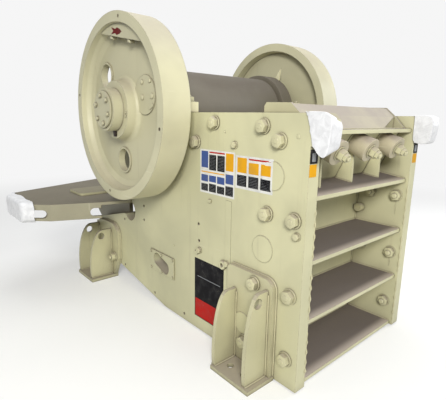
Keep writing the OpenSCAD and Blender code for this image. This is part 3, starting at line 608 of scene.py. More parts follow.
# Rear frame end: painted shade further inside the frame.
CAST_PAINT = paint("cast paint", srgb(200, 196, 160), shade_depth=(0.60, 0.46), shade_share=0.85, **CAST)
# Pitman and bearing housings far darker than the frame's cream: soot and painted shade.
PITMAN_PAINT = paint("pitman paint", srgb(112, 106, 93), low=(1.12, 0.98), **SOOTY_SHADED)
HOUSING_PAINT = paint("sooty shaded cast paint", srgb(110, 104, 91), ring=LUG_HIGHLIGHT_RING, **SOOTY_SHADED)
# Motor base paint and dust darker and greyer than the frame's: painted shade.
BASE_PAINT = paint("motor base paint", srgb(159, 154, 130), grime=0.6, dust_colour=srgb(112, 105, 91))
PAD_PAINT = paint("motor pad paint", srgb(200, 196, 158), grime=0.3, dust_colour=srgb(128, 121, 102))
WHEEL_PAINT = paint("wheel paint", WHEEL_CREAM, radius=0.007, **WHEEL)
FILLET_PAINT = paint("fillet paint", WHEEL_CREAM, radius=0.0001, worn=0.0, **WHEEL)
FOOT_PAINT = paint("foot paint", srgb(199, 195, 159), grime=0.6)
BOLT_PAINT = paint("bolt paint", srgb(206, 202, 165), dust=0.8, grime=0.8, worn=0.3, radius=0.0014,
                   grain=240.0)
WELD_PAINT = paint("weld paint", srgb(198, 193, 156), dust=0.8, grime=0.35, worn=0.14, radius=0.0012,
                   grain=300.0, bump=0.4)
JAW_STEEL = steel("jaw steel", srgb(112, 106, 98), rust=0.55, rough=0.5, grain=90.0, bump=0.8)
DARK_STEEL = steel("dark steel", srgb(74, 70, 66), rust=0.45, rough=0.55)
# Near black: painted shade of the key's slot.
KEY_SLOT_SHADE = steel("key slot shade", srgb(34, 31, 28), rust=0.08, dust=0.1)
BARE_STEEL = steel("bare steel", srgb(150, 148, 143), rust=0.2, rough=0.32, dust=0.6, bump=0.2, grain=220.0,
                   metal=0.95)
WRAP = cloth_wrap("white wrapping")
INK = {
    "white": print_film("white film", srgb(232, 232, 228)),
    "red": print_film("red film", srgb(190, 36, 30)),
    "dark_red": print_film("dark red film", srgb(104, 26, 24)),
    "yellow": print_film("amber film", srgb(232, 170, 36)),
    "black": print_film("black film", srgb(15, 14, 18)),
    "blue": print_film("blue film", srgb(70, 92, 150)),
    "grey": print_film("grey film", srgb(150, 154, 158)),
}

# The material of each CAD node: those with a left and a right, then the single ones
PAIRED_NODES = {
    "side_plate": FRAME_PAINT, "bearing_housing": HOUSING_PAINT, "front_foot": FOOT_PAINT,
    "rear_foot": FOOT_PAINT, "plate_bolts": BOLT_PAINT, "pin_plugs": FRAME_PAINT, "side_cover": COVER_PAINT,
    "flywheel": WHEEL_PAINT, "hub_cap": WHEEL_PAINT,
}
SINGLE_NODES = {
    "front_frame_end": BAY_PAINT, "rear_frame_end": CAST_PAINT, "feed_lip": LIP_PAINT,
    "fixed_jaw_die": JAW_STEEL, "moving_jaw_die": JAW_STEEL, "cheek_plates": JAW_STEEL,
    "jaw_wedge": DARK_STEEL, "spring_cups": CUP_PAINT, "wedge_bolts": BOLT_PAINT, "pitman": PITMAN_PAINT,
    "toggle_plate": DARK_STEEL, "toggle_seats": DARK_STEEL, "tension_rod": BARE_STEEL,
    "tension_spring": DARK_STEEL, "motor_base": BASE_PAINT, "motor_base_brackets": BASE_PAINT,
    "motor_pads": PAD_PAINT, "shaft": BARE_STEEL, "ear_wraps": WRAP, "tip_wraps": WRAP,
}
BY_NODE = dict(SINGLE_NODES)
for name, material in PAIRED_NODES.items():
    BY_NODE[name + "_left"] = BY_NODE[name + "_right"] = material
for name, material in BY_NODE.items():
    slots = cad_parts[name].data.materials
    slots.clear()
    slots.append(material)


# Bolts, nuts and washers
OUT_LEFT = (-1, 0, 0)
BIG = dict(r=0.032, h=0.026, washer_r=0.037, washer_t=0.008, stud=0.005)
SMALL = dict(r=0.017, h=0.014, washer_r=0.020, washer_t=0.004)
BAY_BOLTS = [(-1.036, 0.833), (-1.197, 0.833), (-1.196, 0.477), (-1.190, 0.154)]
TOP_BOLTS = [(-0.651, 1.243), (-0.997, 1.235), (-1.099, 1.174), (-0.493, 1.135)]
FOOT_BOLTS = [(-1.000, 0.482), (-0.942, 0.141), (0.526, 0.178)]
SMALL_BOLTS = [(-0.806, 1.138), (-1.216, 0.765), (-0.769, 0.503), (-0.527, 0.514)]


def both_sides(name, shape, material, body="frame", smooth=35.0):
    """The same shape on the left and, mirrored, on the right: two pieces."""
    left = piece(name + "_left", shape, material, body, smooth)
    right = piece(name + "_right", mirrored(shape), material, body, smooth)
    return left, right


def plate_bolts():
    """Outer heads on round washers, each turned its own way, and nuts on long studs inside the bays."""
    parts = []
    for k, (y, z) in enumerate(BAY_BOLTS + TOP_BOLTS):
        parts.append(placed(bolt(**BIG), (-HALF, y, z), OUT_LEFT, k * 1.7))
    for k, (y, z) in enumerate(FOOT_BOLTS):
        long_stud = dict(BIG, stud=0.018 if k == 2 else 0.005)
        parts.append(placed(bolt(**long_stud), (-FLANGE_X, y, z), OUT_LEFT, k * 2.3 + 0.4))
    for k, (y, z) in enumerate(SMALL_BOLTS):
        parts.append(placed(bolt(**SMALL, n=24), (-HALF, y, z), OUT_LEFT, k * 1.1))
    for k, (y, z) in enumerate(BAY_BOLTS + FOOT_BOLTS[:1]):
        nut = bolt(0.032, 0.024, 0.036, 0.004, stud=0.016)
        parts.append(placed(nut, (-INNER + 0.0003, y, z), (1, 0, 0), k * 0.9))
    return join(*parts)


for ob in both_sides("hex_bolts", plate_bolts(), BOLT_PAINT):
    side = ob.name.rsplit("_", 1)[1]
    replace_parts(ob, "plate_bolts_" + side)

# Spring cups and their bolts, round an axis that leans with the wall of the top bay
CUP_X = [-0.283, 0.0, 0.283]
CUP_Y, CUP_Z = FRONT + 0.107, 1.164
LEAN = math.radians(25)
CUP_OUT = np.array([0.0, -math.cos(LEAN), -math.sin(LEAN)])
CUP_DOWN = np.array([0.0, math.sin(LEAN), -math.cos(LEAN)])
UNDER_FLANGE = 1.2047


def at_cup(shape, x, out=0.0, down=0.0):
    """A shape round Z stood on a cup's axis, with what would enter the flange above pressed flat under it."""
    foot = np.array([x, CUP_Y, CUP_Z]) + CUP_OUT * out + CUP_DOWN * down
    verts, faces = placed(shape, foot, CUP_OUT)
    verts[:, 2] = np.minimum(verts[:, 2], UNDER_FLANGE)
    return verts, faces


def cup_profile():
    """Solid cup with a softly broken rim and a bore for the bolt."""
    r, end, c = 0.062, 0.105, 0.0018
    arc = [(r - c + c * math.cos(a), end - c + c * math.sin(a)) for a in (0, math.pi / 2)]
    lip = [(0.0195, end), (0.0193, end - 0.02), (0.0193, 0.001)]
    return [(0.0195, 0.0006), (r - 0.001, 0.0006), (r, 0.002)] + arc + lip


cups = join(*[at_cup(turned(cup_profile(), 64, loop=True), x) for x in CUP_X])
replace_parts(piece("cups", cups, CUP_PAINT), "spring_cups")

bolts = []
for x in CUP_X:
    washer = turned([(0.034, 0), (0.0355, 0.001), (0.0355, 0.004), (0.0345, 0.005), (0.02, 0.005)], 48)
    bolts += [at_cup(washer, x, 0.1045), at_cup(hex_head(0.0290, 0.030), x, 0.109)]
    bolts += [at_cup(hex_head(0.0225, 0.017), x, 0.138), at_cup(thread(0.0130, 0.014), x, 0.152)]
    for s in (-0.105, 0.105):
        bolts.append(at_cup(bolt(0.012, 0.010, 0.015, 0.004, n=24), x + s, 0.0003, 0.008))
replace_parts(piece("cup_bolts", join(*bolts), BOLT_PAINT), "wedge_bolts")

# Tension rods with their springs at the rear
ROD_X = [-0.230, 0.230]
ROD_Z, ROD_START, SPRING_Y, SPRING_L = 0.143, -0.520, 0.8405, 0.2345


def coil(mean_r, wire_r, length, turns):
    """A wire round a helix whose pitch closes up over the first and last turn, so that both ends lie flat."""
    t = np.linspace(0, 1, int(turns * 40) + 1)
    flat, thick = 1 / turns, 2 * wire_r / length
    rise = np.interp(t, [0, flat, 1 - flat, 1], [0, thick, 1 - thick, 1])
    a = t * turns * 2 * math.pi
    z = wire_r + rise * (length - 2 * wire_r)
    path = np.stack([mean_r * np.cos(a), mean_r * np.sin(a), z], -1)
    return tube(path, wire_r, n=12)


def along_rod(shape, x, y):
    """A shape round Z laid along a tension rod."""
    return placed(shape, (x, y, ROD_Z), (0, 1, 0))


springs = join(*[along_rod(coil(0.0465, 0.0105, SPRING_L, 7.5), x, SPRING_Y) for x in ROD_X])
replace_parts(piece("coil_springs", springs, DARK_STEEL), "tension_spring")
rods = []
for x in ROD_X:
    plain = turned([(0.0185, 0), (0.02, 0.002), (0.02, 1.46), (0.0185, 1.462)], 40)
    rim = [(0.050, 0), (0.052, 0.002), (0.052, 0.014), (0.050, 0.016)]
    plate = turned([(0.021, 0)] + rim + [(0.03, 0.016)], 64)
    rods += [along_rod(plain, x, ROD_START), along_rod(thread(0.02, 0.179, n=32), x, 0.942)]
    rods += [along_rod(plate, x, 1.0755), along_rod(hex_head(0.034, 0.018), x, 1.091)]
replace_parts(piece("rods_and_nuts", join(*rods), BARE_STEEL), "tension_rod")


# Weld beads
def bead(points, r, seed):
    """A weld bead: a thin tube whose radius swells every 9 mm."""
    return tube(points, r, n=8, step=0.0045, ripple=0.09, wave=0.009, seed=seed)


def arc_points(cy, cz, r, a0, a1, n=9):
    """Points of an arc in the plane of a side plate, as [y, z]."""
    a = np.radians(np.linspace(a0, a1, n))
    return [(cy + r * math.cos(t), cz + r * math.sin(t)) for t in a]


def on_plate(outline, x):
    """An outline of (y, z) pairs as points in a plane across X."""
    return [(x, y, z) for y, z in outline]


FRONT_FLANGE = [(-1.119, 0.024)] + arc_points(-1.062, 0.471, 0.057, 180, 90) + \
    [(-0.820, 0.528), (-0.799, 0.507), (-0.799, 0.024)]
REAR_FLANGE = [(0.499, 0.112), (0.470, 0.172), (0.464, 0.339)] + arc_points(0.569, 0.339, 0.105, 180, 90) + \
    [(0.685, 0.444), (0.775, 0.432), (0.836, 0.414), (0.836, 0.180)]
FRONT_GUSSETS = [(-1.093, 0.455), (-0.874, 0.395)]
REAR_GUSSETS = [(0.572, 0.375), (0.790, 0.380)]
GUSSET_T, BASE_T = 0.022, 0.022


def foot_welds():
    """Beads round both flanges on the plate, up both sides of each gusset and along its foot."""
    parts = []
    for k, flange in ((1, FRONT_FLANGE), (2, REAR_FLANGE)):
        parts.append(bead(on_plate(flange, -HALF - 0.003), 0.0055, k))
    for gussets, reach in ((FRONT_GUSSETS, 0.690), (REAR_GUSSETS, 0.725)):
        for k, (y, top) in enumerate(gussets):
            for y_side in (y - 0.002, y + GUSSET_T + 0.002):
                x, z = -FLANGE_X - 0.002, BASE_T + 0.002
                parts.append(bead([(x, y_side, BASE_T), (x, y_side, top)], 0.005, 3 + k))
                parts.append(bead([(-FLANGE_X, y_side, z), (-reach, y_side, z)], 0.005, 7 + k))
    return join(*parts)


def shelf(y):
    """Height of the first rib's top at a place along Y."""
    return 0.937 + (y - RIB_Y) * 0.040 / 0.295


def bay_welds():
    """Beads where the ribs and the wall meet the left plate, in every bay."""
    x, y0, y1 = -INNER + 0.0025, RIB_Y + 0.004, WALL_Y
    parts = []
    for k, z in enumerate((0.636, 0.341, 0.030)):
        parts.append(bead([(x, y0, z + 0.002), (x, y1, z + 0.002)], 0.0048, 20 + k))
    for k, z in enumerate((0.616, 0.321, 0.917, 1.205)):
        end = y1 - 0.2 if z > 1.2 else y1
        parts.append(bead([(x, y0, z - 0.002), (x, end, z - 0.002)], 0.0048, 24 + k))
    parts.append(bead([(x, y0, shelf(y0) + 0.002), (x, y1 - 0.002, shelf(y1) + 0.002)], 0.0048, 30))
    for k, (z0, z1) in enumerate(((0.345, 0.612), (0.640, 0.912), (0.034, 0.318))):
        parts.append(bead([(x, y1 - 0.002, z0), (x, y1 - 0.002, z1)], 0.0055, 31 + k))
    return join(*parts)


def middle_welds():
    """Beads along the ribs' roots on the wall, beside the three gussets, round the cups and under the lip."""
    w = INNER - 0.012
    parts = [bead([(-w, WALL_Y - 0.002, z), (w, WALL_Y - 0.002, z)], 0.0048, 40 + k)
             for k, z in enumerate((0.638, 0.614, 0.343, 0.319, 0.032, 0.915))]
    for k, x in enumerate(CUP_X):
        for s in (-0.0095, 0.0095):
            parts.append(bead([(x + s, y, shelf(y) + 0.001) for y in (-1.15, -0.985)], 0.0045, 50 + k))
        ring = circle(0.0635, 40)
        hoop = np.column_stack([ring, np.full(40, 0.003)])
        parts.append(at_cup(bead(np.vstack([hoop, hoop[:1]]), 0.0045, 60 + k), x))
    lip_y, lip_z = -1.1965, 1.2265
    parts.append(bead([(-0.43, lip_y, lip_z), (0.43, lip_y, lip_z)], 0.004, 70))
    return join(*parts)


def torch_lumps():
    """The rough inner corner of the left plate's front edge: a bead whose radius swells unevenly."""
    x, y = -INNER - 0.001, FRONT + 0.0015
    parts = []
    for k, (z0, z1) in enumerate(((0.04, 0.30), (0.36, 0.60), (0.66, 0.90))):
        edge = [(x, y, z0), (x, y, z1)]
        parts.append(tube(edge, 0.0042, n=8, step=0.011, ripple=0.6, wave=0.052, seed=80 + k))
    return join(*parts)


both_sides("foot_welds", foot_welds(), WELD_PAINT)
both_sides("bay_welds", bay_welds(), WELD_PAINT)
both_sides("torch_cut_edge", torch_lumps(), WELD_PAINT)
piece("rib_welds", middle_welds(), WELD_PAINT)


# Small things on the side plates: blocks and plug rings by Y, Z and size, weld marks by both ends
BLOCKS = [(-0.616, 0.821, 0.026, 0.018), (-0.498, 0.494, 0.030, 0.020), (-0.452, 1.137, 0.022, 0.028)]
PLUG_RINGS = [(-1.014, 0.654, 0.0665, HALF), (-1.063, 1.014, 0.0665, HALF), (-0.925, 0.236, 0.0585, FLANGE_X)]
WELD_MARKS = [((-0.262, 0.478), (-0.262, 0.462)), ((-0.842, 0.460), (-0.826, 0.460)),
              ((-0.730, 1.206), (-0.730, 1.192))]
COVER_Y, COVER_Z, COVER_OUT = -0.125, 0.309, 0.0083


def plate_trim():
    """Seam strip, a painted-over hole, a turned boss, blocks, rings round the plugs, the cover's screws and a
    few weld marks on a side plate."""
    parts = []
    strip = round_rect(0.045, 0.520, 0.004, 3)
    parts.append(placed(slab(strip, 0.0022, 0.0008), (-HALF, -0.768, 0.588), OUT_LEFT, math.pi / 2))
    filled = [(0.0110, -0.0002), (0.0108, 0.0006), (0.0092, 0.0011), (0.0030, 0.0013)]
    parts.append(placed(turned(filled, 32), (-HALF, -1.1937, 1.1972), OUT_LEFT))
    boss = [(0.025, 0), (0.025, 0.014), (0.0225, 0.0175), (0.0125, 0.0175), (0.0115, 0.0165), (0.0115, 0.004)]
    parts.append(placed(turned(boss, 40), (-HALF, -0.737, 0.489), OUT_LEFT))
    for y, z, w, h in BLOCKS:
        block = slab(round_rect(w, h, 0.003, 3), 0.009, 0.0015)
        parts.append(placed(block, (-HALF, y, z), OUT_LEFT, math.pi / 2))
    for y, z, r, x in PLUG_RINGS:
        ring = [(r - 0.0022, -0.0005), (r - 0.0012, 0.0016), (r + 0.0012, 0.0016), (r + 0.0022, -0.0005)]
        parts.append(placed(turned(ring, 64, loop=True), (-x, y, z), OUT_LEFT))
    for sy in (-0.128, 0.0, 0.128):
        for sz in (-0.058, 0.058):
            at = (-HALF - COVER_OUT, COVER_Y + sy, COVER_Z + sz)
            parts.append(placed(bolt(0.0085, 0.006, 0.0105, 0.0016, n=24), at, OUT_LEFT, sy * 9))
    for k, (a, b) in enumerate(WELD_MARKS):
        parts.append(bead([(-HALF - 0.001, *a), (-HALF - 0.001, *b)], 0.004, 90 + k))
    return join(*parts)


both_sides("plate_trim", plate_trim(), FRAME_PAINT)


def housing_trim():
    """Seal ring with eight screws round the shaft, and two foot bolts on top of a bearing housing."""
    parts = []
    ring = [(0.128, 0), (0.262, 0), (0.264, 0.0015), (0.264, 0.0055), (0.2625, 0.007), (0.129, 0.007),
            (0.128, 0.006)]
    parts.append(placed(turned(ring, 96, loop=True), (-HALF - 0.042, 0, AXIS_Z), OUT_LEFT))
    for k in range(8):
        a = math.radians(22.5 + 45 * k)
        at = (-HALF - 0.048, 0.245 * math.cos(a), AXIS_Z + 0.245 * math.sin(a))
        parts.append(placed(bolt(0.012, 0.008, n=24), at, OUT_LEFT, a))
    for y in (-0.375, 0.375):
        parts.append(placed(bolt(0.030, 0.024, 0.036, 0.006, stud=0.012), (-0.483, y, 1.3525), (0, 0, 1), y))
    return join(*parts)


both_sides("housing_bolts", housing_trim(), BOLT_PAINT)


# On the flywheels
WEB_BOSSES = [(-0.225, 1.455, 0.014), (-0.310, 1.458, 0.012), (-0.227, 1.372, 0.015), (-0.328, 1.377, 0.016)]
WEIGHT_TILT, LUG_REACH = math.radians(12), 0.397
HUB_SIDE, FILLET = 0.1740, 0.034


def wheel_trim():
    """Screws and lugs on a flywheel: cap bolts, two set screws, cast bosses and a small bar on the web, and
    two lugs under the counterweight."""
    parts = []
    for k in range(6):
        a = math.radians(20 + 60 * k)
        at = (-CAP_X - 0.0003, 0.080 * math.cos(a), AXIS_Z + 0.080 * math.sin(a))
        parts.append(placed(bolt(0.0135, 0.010, 0.016, 0.003, n=24), at, OUT_LEFT, a * 2))
    for y, z, r in WEB_BOSSES:
        dome = [(r, -0.001), (r, 0.003), (r * 0.9, 0.006), (r * 0.6, 0.008), (r * 0.2, 0.0087)]
        parts.append(placed(turned(dome, 24), (-WEB_X - 0.007, y, z), OUT_LEFT))
    bar = slab(round_rect(0.022, 0.050, 0.010, 6), 0.005, 0.002)
    parts.append(placed(bar, (-WEB_X - 0.0065, -0.318, 1.322), OUT_LEFT, 0.5))
    for y, z in ((-0.146, 1.287), (-0.146, 1.268)):
        parts.append(placed(bolt(0.008, 0.005, n=24), (-HUB_X, y, z), OUT_LEFT, z))
    c, s = math.cos(WEIGHT_TILT), math.sin(WEIGHT_TILT)
    along, up = np.array([c, s]), np.array([-s, c])
    lug = slab(round_rect(0.036, 0.026, 0.005, 4), 0.018, 0.002)
    for reach in (0.129, -0.086):
        y, z = up * LUG_REACH + along * reach + [0.002, AXIS_Z + 0.008]
        parts.append(placed(lug, (-0.722, y, z), (0, s, -c)))
    return join(*parts)


both_sides("wheel_bolts", wheel_trim(), WHEEL_PAINT, "rotor")


def hub_fillet():
    """Cast fillet between a flywheel's web and its hub: a quarter circle of radius FILLET, hollow side out,
    carried round the shaft's axis."""
    a = np.linspace(0, math.pi / 2, 14)
    root = HUB_SIDE + FILLET
    curve = list(zip(root - FILLET * np.sin(a), FILLET * (1 - np.cos(a)) - 0.0005))
    back = [(HUB_SIDE - 0.004, FILLET), (HUB_SIDE - 0.004, -0.0005)]
    return placed(turned(curve + back, 120, loop=True), (-WEB_X, 0, AXIS_Z), OUT_LEFT)


both_sides("hub_fillet", hub_fillet(), FILLET_PAINT, "rotor")


def shaft_key():
    """End of the key that holds a flywheel, as a near-black block between the neck and the hub's flange:
    painted shade of its slot.
    """
    key = slab(round_rect(0.034, 0.024, 0.002, 3), 0.012, 0.0012)
    return placed(key, (-HUB_X - 0.0002, -0.012, AXIS_Z - 0.139), OUT_LEFT, 0.1)


both_sides("shaft_key", shaft_key(), KEY_SLOT_SHADE, "rotor")

# Outline of the turning arrow as (height, place along Y): pointed nose, waist and a notched tail
ARROW = [(0.0, -0.068), (0.013, -0.044), (0.020, -0.010), (0.011, 0.010), (0.019, 0.060), (0.0, 0.034),
         (-0.019, 0.060), (-0.011, 0.010), (-0.020, -0.010), (-0.013, -0.044)]
arrow = placed(slab(ARROW[::-1], 0.0006, 0.0001), (-0.744, -0.030, 1.741), OUT_LEFT, -0.17)
both_sides("turning_arrow", arrow, INK["dark_red"], "rotor", smooth=0)


def hole_shade_discs(spots, x, r=0.0088):
    """Painted shade in holes: a dark flat disc a little way down each one, its rim turned down."""
    disc = turned([(r, 0), (r, 0.001), (r * 0.5, 0.0012)], 20)
    return join(*[placed(disc, (x, y, z), OUT_LEFT) for y, z in spots])


PLATE_HOLES = [(0.103, 0.661), (0.105, 0.561), (0.396, 0.506), (-0.515, 0.669), (-0.520, 0.570),
               (0.413, 0.137), (-0.019, 0.060), (-0.371, 0.047)]
RIM_HOLES = arc_points(0, AXIS_Z, 0.514, 11, 281, 4)
both_sides("plate_hole_shade", hole_shade_discs(PLATE_HOLES, -HALF + 0.007), DARK_STEEL)
both_sides("rim_hole_shade", hole_shade_discs(RIM_HOLES, -RIM_X + 0.007), DARK_STEEL, "rotor")


def bay_trim():
    """Pin end beside the wall in the second bay, and two runs of paint under nuts, on the left plate."""
    pin = [(0.026, 0), (0.026, 0.040), (0.0245, 0.043), (0.019, 0.043), (0.018, 0.041)]
    parts = [placed(turned(pin, 36), (-INNER, -0.975, 0.722), (1, 0, 0))]
    for y, z0, z1 in ((-1.197, 0.800, 0.715), (-1.196, 0.445, 0.385)):
        run = [(-INNER + 0.0005, y, z0), (-INNER + 0.0005, y - 0.001, z1)]
        parts.append(tube(run, 0.0022, n=6, ripple=0.3, wave=0.03))
    return join(*parts)


both_sides("bay_pin", bay_trim(), WELD_PAINT)


# Plain coloured panels on the left plate
PLUG_AT, PLUG_R, PLUG_OUT = (-1.063, 1.014), 0.067, 0.0026


def film(y0, y1, z0, z1, lift):
    """A sticker on the left plate as a grid of points along Y and Z: lift above the paint, and up over the
    plug's disc by a smooth step of the distance from the plug's middle. Its rim turns down to the paint."""
    rows, columns = max(3, int((z1 - z0) / 0.004)), max(3, int((y1 - y0) / 0.004))
    z, y = np.meshgrid(np.linspace(z0, z1, rows), np.linspace(y0, y1, columns), indexing="ij")
    near = np.clip((PLUG_R + 0.006 - np.hypot(y - PLUG_AT[0], z - PLUG_AT[1])) / 0.006, 0, 1)
    out = lift + PLUG_OUT * near * near * (3 - 2 * near)
    rim = np.ones_like(out)
    rim[[0, -1], :] = 0
    rim[:, [0, -1]] = 0
    return open_grid(np.stack([-HALF - out * (0.25 + 0.75 * rim), y, z], -1))


def panel(name, y0, y1, z0, z1, ground, blocks):
    """A ground film and blocks over it, each given as shares of the panel's length and height. A ruled block
    is black with thin pale lines across it."""
    piece(name, film(y0, y1, z0, z1, 0.0004), INK[ground])
    inks = {}
    for colour, a0, a1, b0, b1 in blocks:
        ya, yb = y0 + (y1 - y0) * a0, y0 + (y1 - y0) * a1
        za, zb = z0 + (z1 - z0) * b0, z0 + (z1 - z0) * b1
        inks.setdefault("black" if colour == "ruled" else colour, []).append(film(ya, yb, za, zb, 0.0008))
        if colour == "ruled":
            for level in np.arange(zb - 0.008, za + 0.004, -0.0075):
                rule = film(ya + 0.005, yb - 0.005, level, level + 0.0022, 0.0012)
                inks.setdefault("grey", []).append(rule)
    for colour, shapes in inks.items():
        piece(f"{name}_{colour}", join(*shapes), INK[colour])


COLUMNS = [(0.03, 0.25), (0.27, 0.49), (0.51, 0.73), (0.75, 0.97)]
panel("colour_panel_1", -0.809, -0.529, 0.862, 1.100, "white",
      [("red", 0.27, 0.73, 0.92, 0.97), ("yellow", *COLUMNS[0], 0.58, 0.97),
       ("ruled", *COLUMNS[1], 0.54, 0.90), ("ruled", *COLUMNS[2], 0.54, 0.90),
       ("blue", *COLUMNS[3], 0.58, 0.97), ("yellow", 0.27, 0.97, 0.47, 0.51),
       ("blue", *COLUMNS[0], 0.30, 0.52), ("blue", *COLUMNS[1], 0.26, 0.43),
       ("ruled", *COLUMNS[0], 0.04, 0.26), ("ruled", *COLUMNS[1], 0.04, 0.22),
       ("ruled", *COLUMNS[2], 0.04, 0.24), ("blue", *COLUMNS[2], 0.27, 0.43),
       ("blue", *COLUMNS[3], 0.26, 0.43), ("ruled", *COLUMNS[3], 0.04, 0.22)])
panel("colour_panel_2", -1.064, -0.815, 0.925, 1.089, "white",
      [("red", 0.04, 0.64, 0.88, 0.95), ("yellow", 0.68, 0.96, 0.48, 0.95),
       ("yellow", 0.36, 0.64, 0.48, 0.83), ("yellow", 0.04, 0.32, 0.48, 0.83),
       ("ruled", 0.04, 0.32, 0.07, 0.43), ("ruled", 0.36, 0.64, 0.07, 0.43),
       ("ruled", 0.68, 0.96, 0.07, 0.43)])
panel("dark_panel", -0.740, -0.480, 0.087, 0.459, "black",
      [("red", 0.02, 0.98, 0.01, 0.32), ("grey", 0.10, 0.90, 0.70, 0.715)])


def edge_film(x0, x1, z0, z1, lift):
    """A sticker on the front edge of a side plate."""
    outline = round_rect(x1 - x0, z1 - z0, 0.003, 4)
    return placed(slab(outline, 0.0004, 0.0001), ((x0 + x1) / 2, FRONT - lift, (z0 + z1) / 2), (0, -1, 0))


for side, x0, x1 in (("left", -0.516, -0.463), ("right", 0.463, 0.516)):
    piece("edge_patch_dark_" + side, edge_film(x0, x1, 1.087, 1.147, 0.0003), INK["black"], smooth=0)
    middle = edge_film(x0 + 0.014, x1 - 0.014, 1.096, 1.132, 0.0008)
    piece("edge_patch_pale_" + side, middle, INK["grey"], smooth=0)
    lower = edge_film(x0, x1 - 0.004, 1.031, 1.084, 0.0003)
    piece("edge_patch_amber_" + side, lower, INK["yellow"], smooth=0)


# White wrapping over the lifting ears and the arm tips
def rounded(points, n, soft=3):
    """n even points along a polyline, each drawn towards its neighbours' mean so that corners turn softly."""
    p, _ = resampled(points, 0.002)
    q = spread(p, np.linspace(0, len(p) - 1, n))
    for _ in range(soft):
        q[1:-1] = (q[:-2] + 2 * q[1:-1] + q[2:]) / 4
    return q


def creases(p, seed, size):
    """Height of crumpled cloth: sharp ridges, each one minus the size of a sine along its own direction."""
    r = np.random.default_rng(seed)
    w = np.zeros(p.shape[:2])
    for f, a in ((22, 1.0), (38, 0.8), (64, 0.45), (110, 0.2)):
        for _ in range(2):
            d = r.normal(size=3)
            d /= np.linalg.norm(d)
            bend = 0.5 * np.sin(p @ r.normal(size=3) * 25 + r.uniform(0, 6))
            w += a * (1 - np.abs(np.sin(p @ d * f + bend + r.uniform(0, 6)))) ** 1.4
    return size * (w / w.max())


def crumpled(grid, seed, size, wrap=False):
    """Moves a grid of points along its own normals by the height of the creases."""
    du = np.gradient(grid, axis=1)
    if wrap:
        du = np.roll(grid, -1, 1) - np.roll(grid, 1, 1)
    n = np.cross(du, np.gradient(grid, axis=0))
    n /= np.maximum(np.linalg.norm(n, axis=2, keepdims=True), 1e-9)
    away = grid - grid.mean((0, 1))
    n *= np.sign((n * away).sum())
    return grid + n * creases(grid, seed, size)[:, :, None]


EAR_RIMS = {
    "left": [(-1.240, 1.2985), (-1.322, 1.2975), (-1.348, 1.281), (-1.352, 1.248), (-1.348, 1.200),
             (-1.344, 1.160), (-1.336, 1.132), (-1.325, 1.118), (-1.308, 1.124), (-1.288, 1.142)],
    "right": [(-1.240, 1.2985), (-1.322, 1.2975), (-1.347, 1.288), (-1.354, 1.244), (-1.350, 1.199),
              (-1.344, 1.160), (-1.332, 1.147), (-1.300, 1.144), (-1.262, 1.149)]}
EAR_INNER_RIMS = {
    "left": [(-1.240, 1.2985), (-1.280, 1.296), (-1.304, 1.287), (-1.338, 1.268), (-1.350, 1.240),
             (-1.347, 1.200), (-1.343, 1.166), (-1.336, 1.151), (-1.312, 1.146), (-1.288, 1.146)],
    "right": EAR_RIMS["right"]}
EAR_OUTER_BACKS = {
    "left": [(-1.224, 1.3015), (-1.236, 1.282), (-1.244, 1.262), (-1.252, 1.226), (-1.260, 1.190),
             (-1.268, 1.165), (-1.287, 1.143)],
    "right": [(-1.228, 1.3015), (-1.232, 1.262), (-1.236, 1.222), (-1.242, 1.180), (-1.261, 1.150)]}
EAR_INNER_BACKS = {
    "left": [(-1.2405, 1.2980), (-1.2405, 1.262), (-1.2405, 1.200), (-1.243, 1.170), (-1.262, 1.155),
             (-1.287, 1.143)],
    "right": [(-1.2535, 1.2970), (-1.2535, 1.262), (-1.2535, 1.200), (-1.255, 1.165), (-1.266, 1.150)]}
EAR_OUT_X, EAR_IN_X = -0.5240, -0.4418


def ear_wrap(side, seed, columns=96):
    """A sheet folded round a plate's front edge: rows run from the back of the outer flap to its rim, round
    the plate's thickness on a half ellipse, and back over the inner flap."""
    rim, inner_rim, outer, inner = (rounded(p[side], columns)
                                    for p in (EAR_RIMS, EAR_INNER_RIMS, EAR_OUTER_BACKS, EAR_INNER_BACKS))
    ragged = np.random.default_rng(seed).normal(0, 0.0012, (2, columns))
    outer[:, 0] += np.convolve(ragged[0], np.ones(5) / 2, "same")
    e = np.gradient(rim, axis=0)
    normal = np.stack([e[:, 1], -e[:, 0]], -1) / np.linalg.norm(e, axis=1)[:, None]
    normal *= np.sign((normal * (rim - rim.mean(0))).sum())
    rows = []
    for q in np.linspace(1, 0, 22):
        yz = rim * (1 - q) + outer * q
        rows.append(np.column_stack([np.full(columns, EAR_OUT_X + 0.0015 * q), yz]))
    mid, half = (EAR_OUT_X + EAR_IN_X) / 2, (EAR_IN_X - EAR_OUT_X) / 2
    for a in np.linspace(0, math.pi, 18)[1:-1]:
        swell = 0.0012 * math.sin(a) ** 0.5
        share = (1 - math.cos(a)) / 2
        here = rim * (1 - share) + inner_rim * share + normal * swell
        rows.append(np.column_stack([np.full(columns, mid - half * math.cos(a)), here]))
    for q in np.linspace(0, 1, 18):
        rows.append(np.column_stack([np.full(columns, EAR_IN_X), inner_rim * (1 - q) + inner * q]))
    return open_grid(crumpled(np.array(rows), seed, 0.0020))


TIP_END, TIP_OPEN = -1.200, -1.127
TIP_LOW, TIP_TOP = 0.563, 0.6945


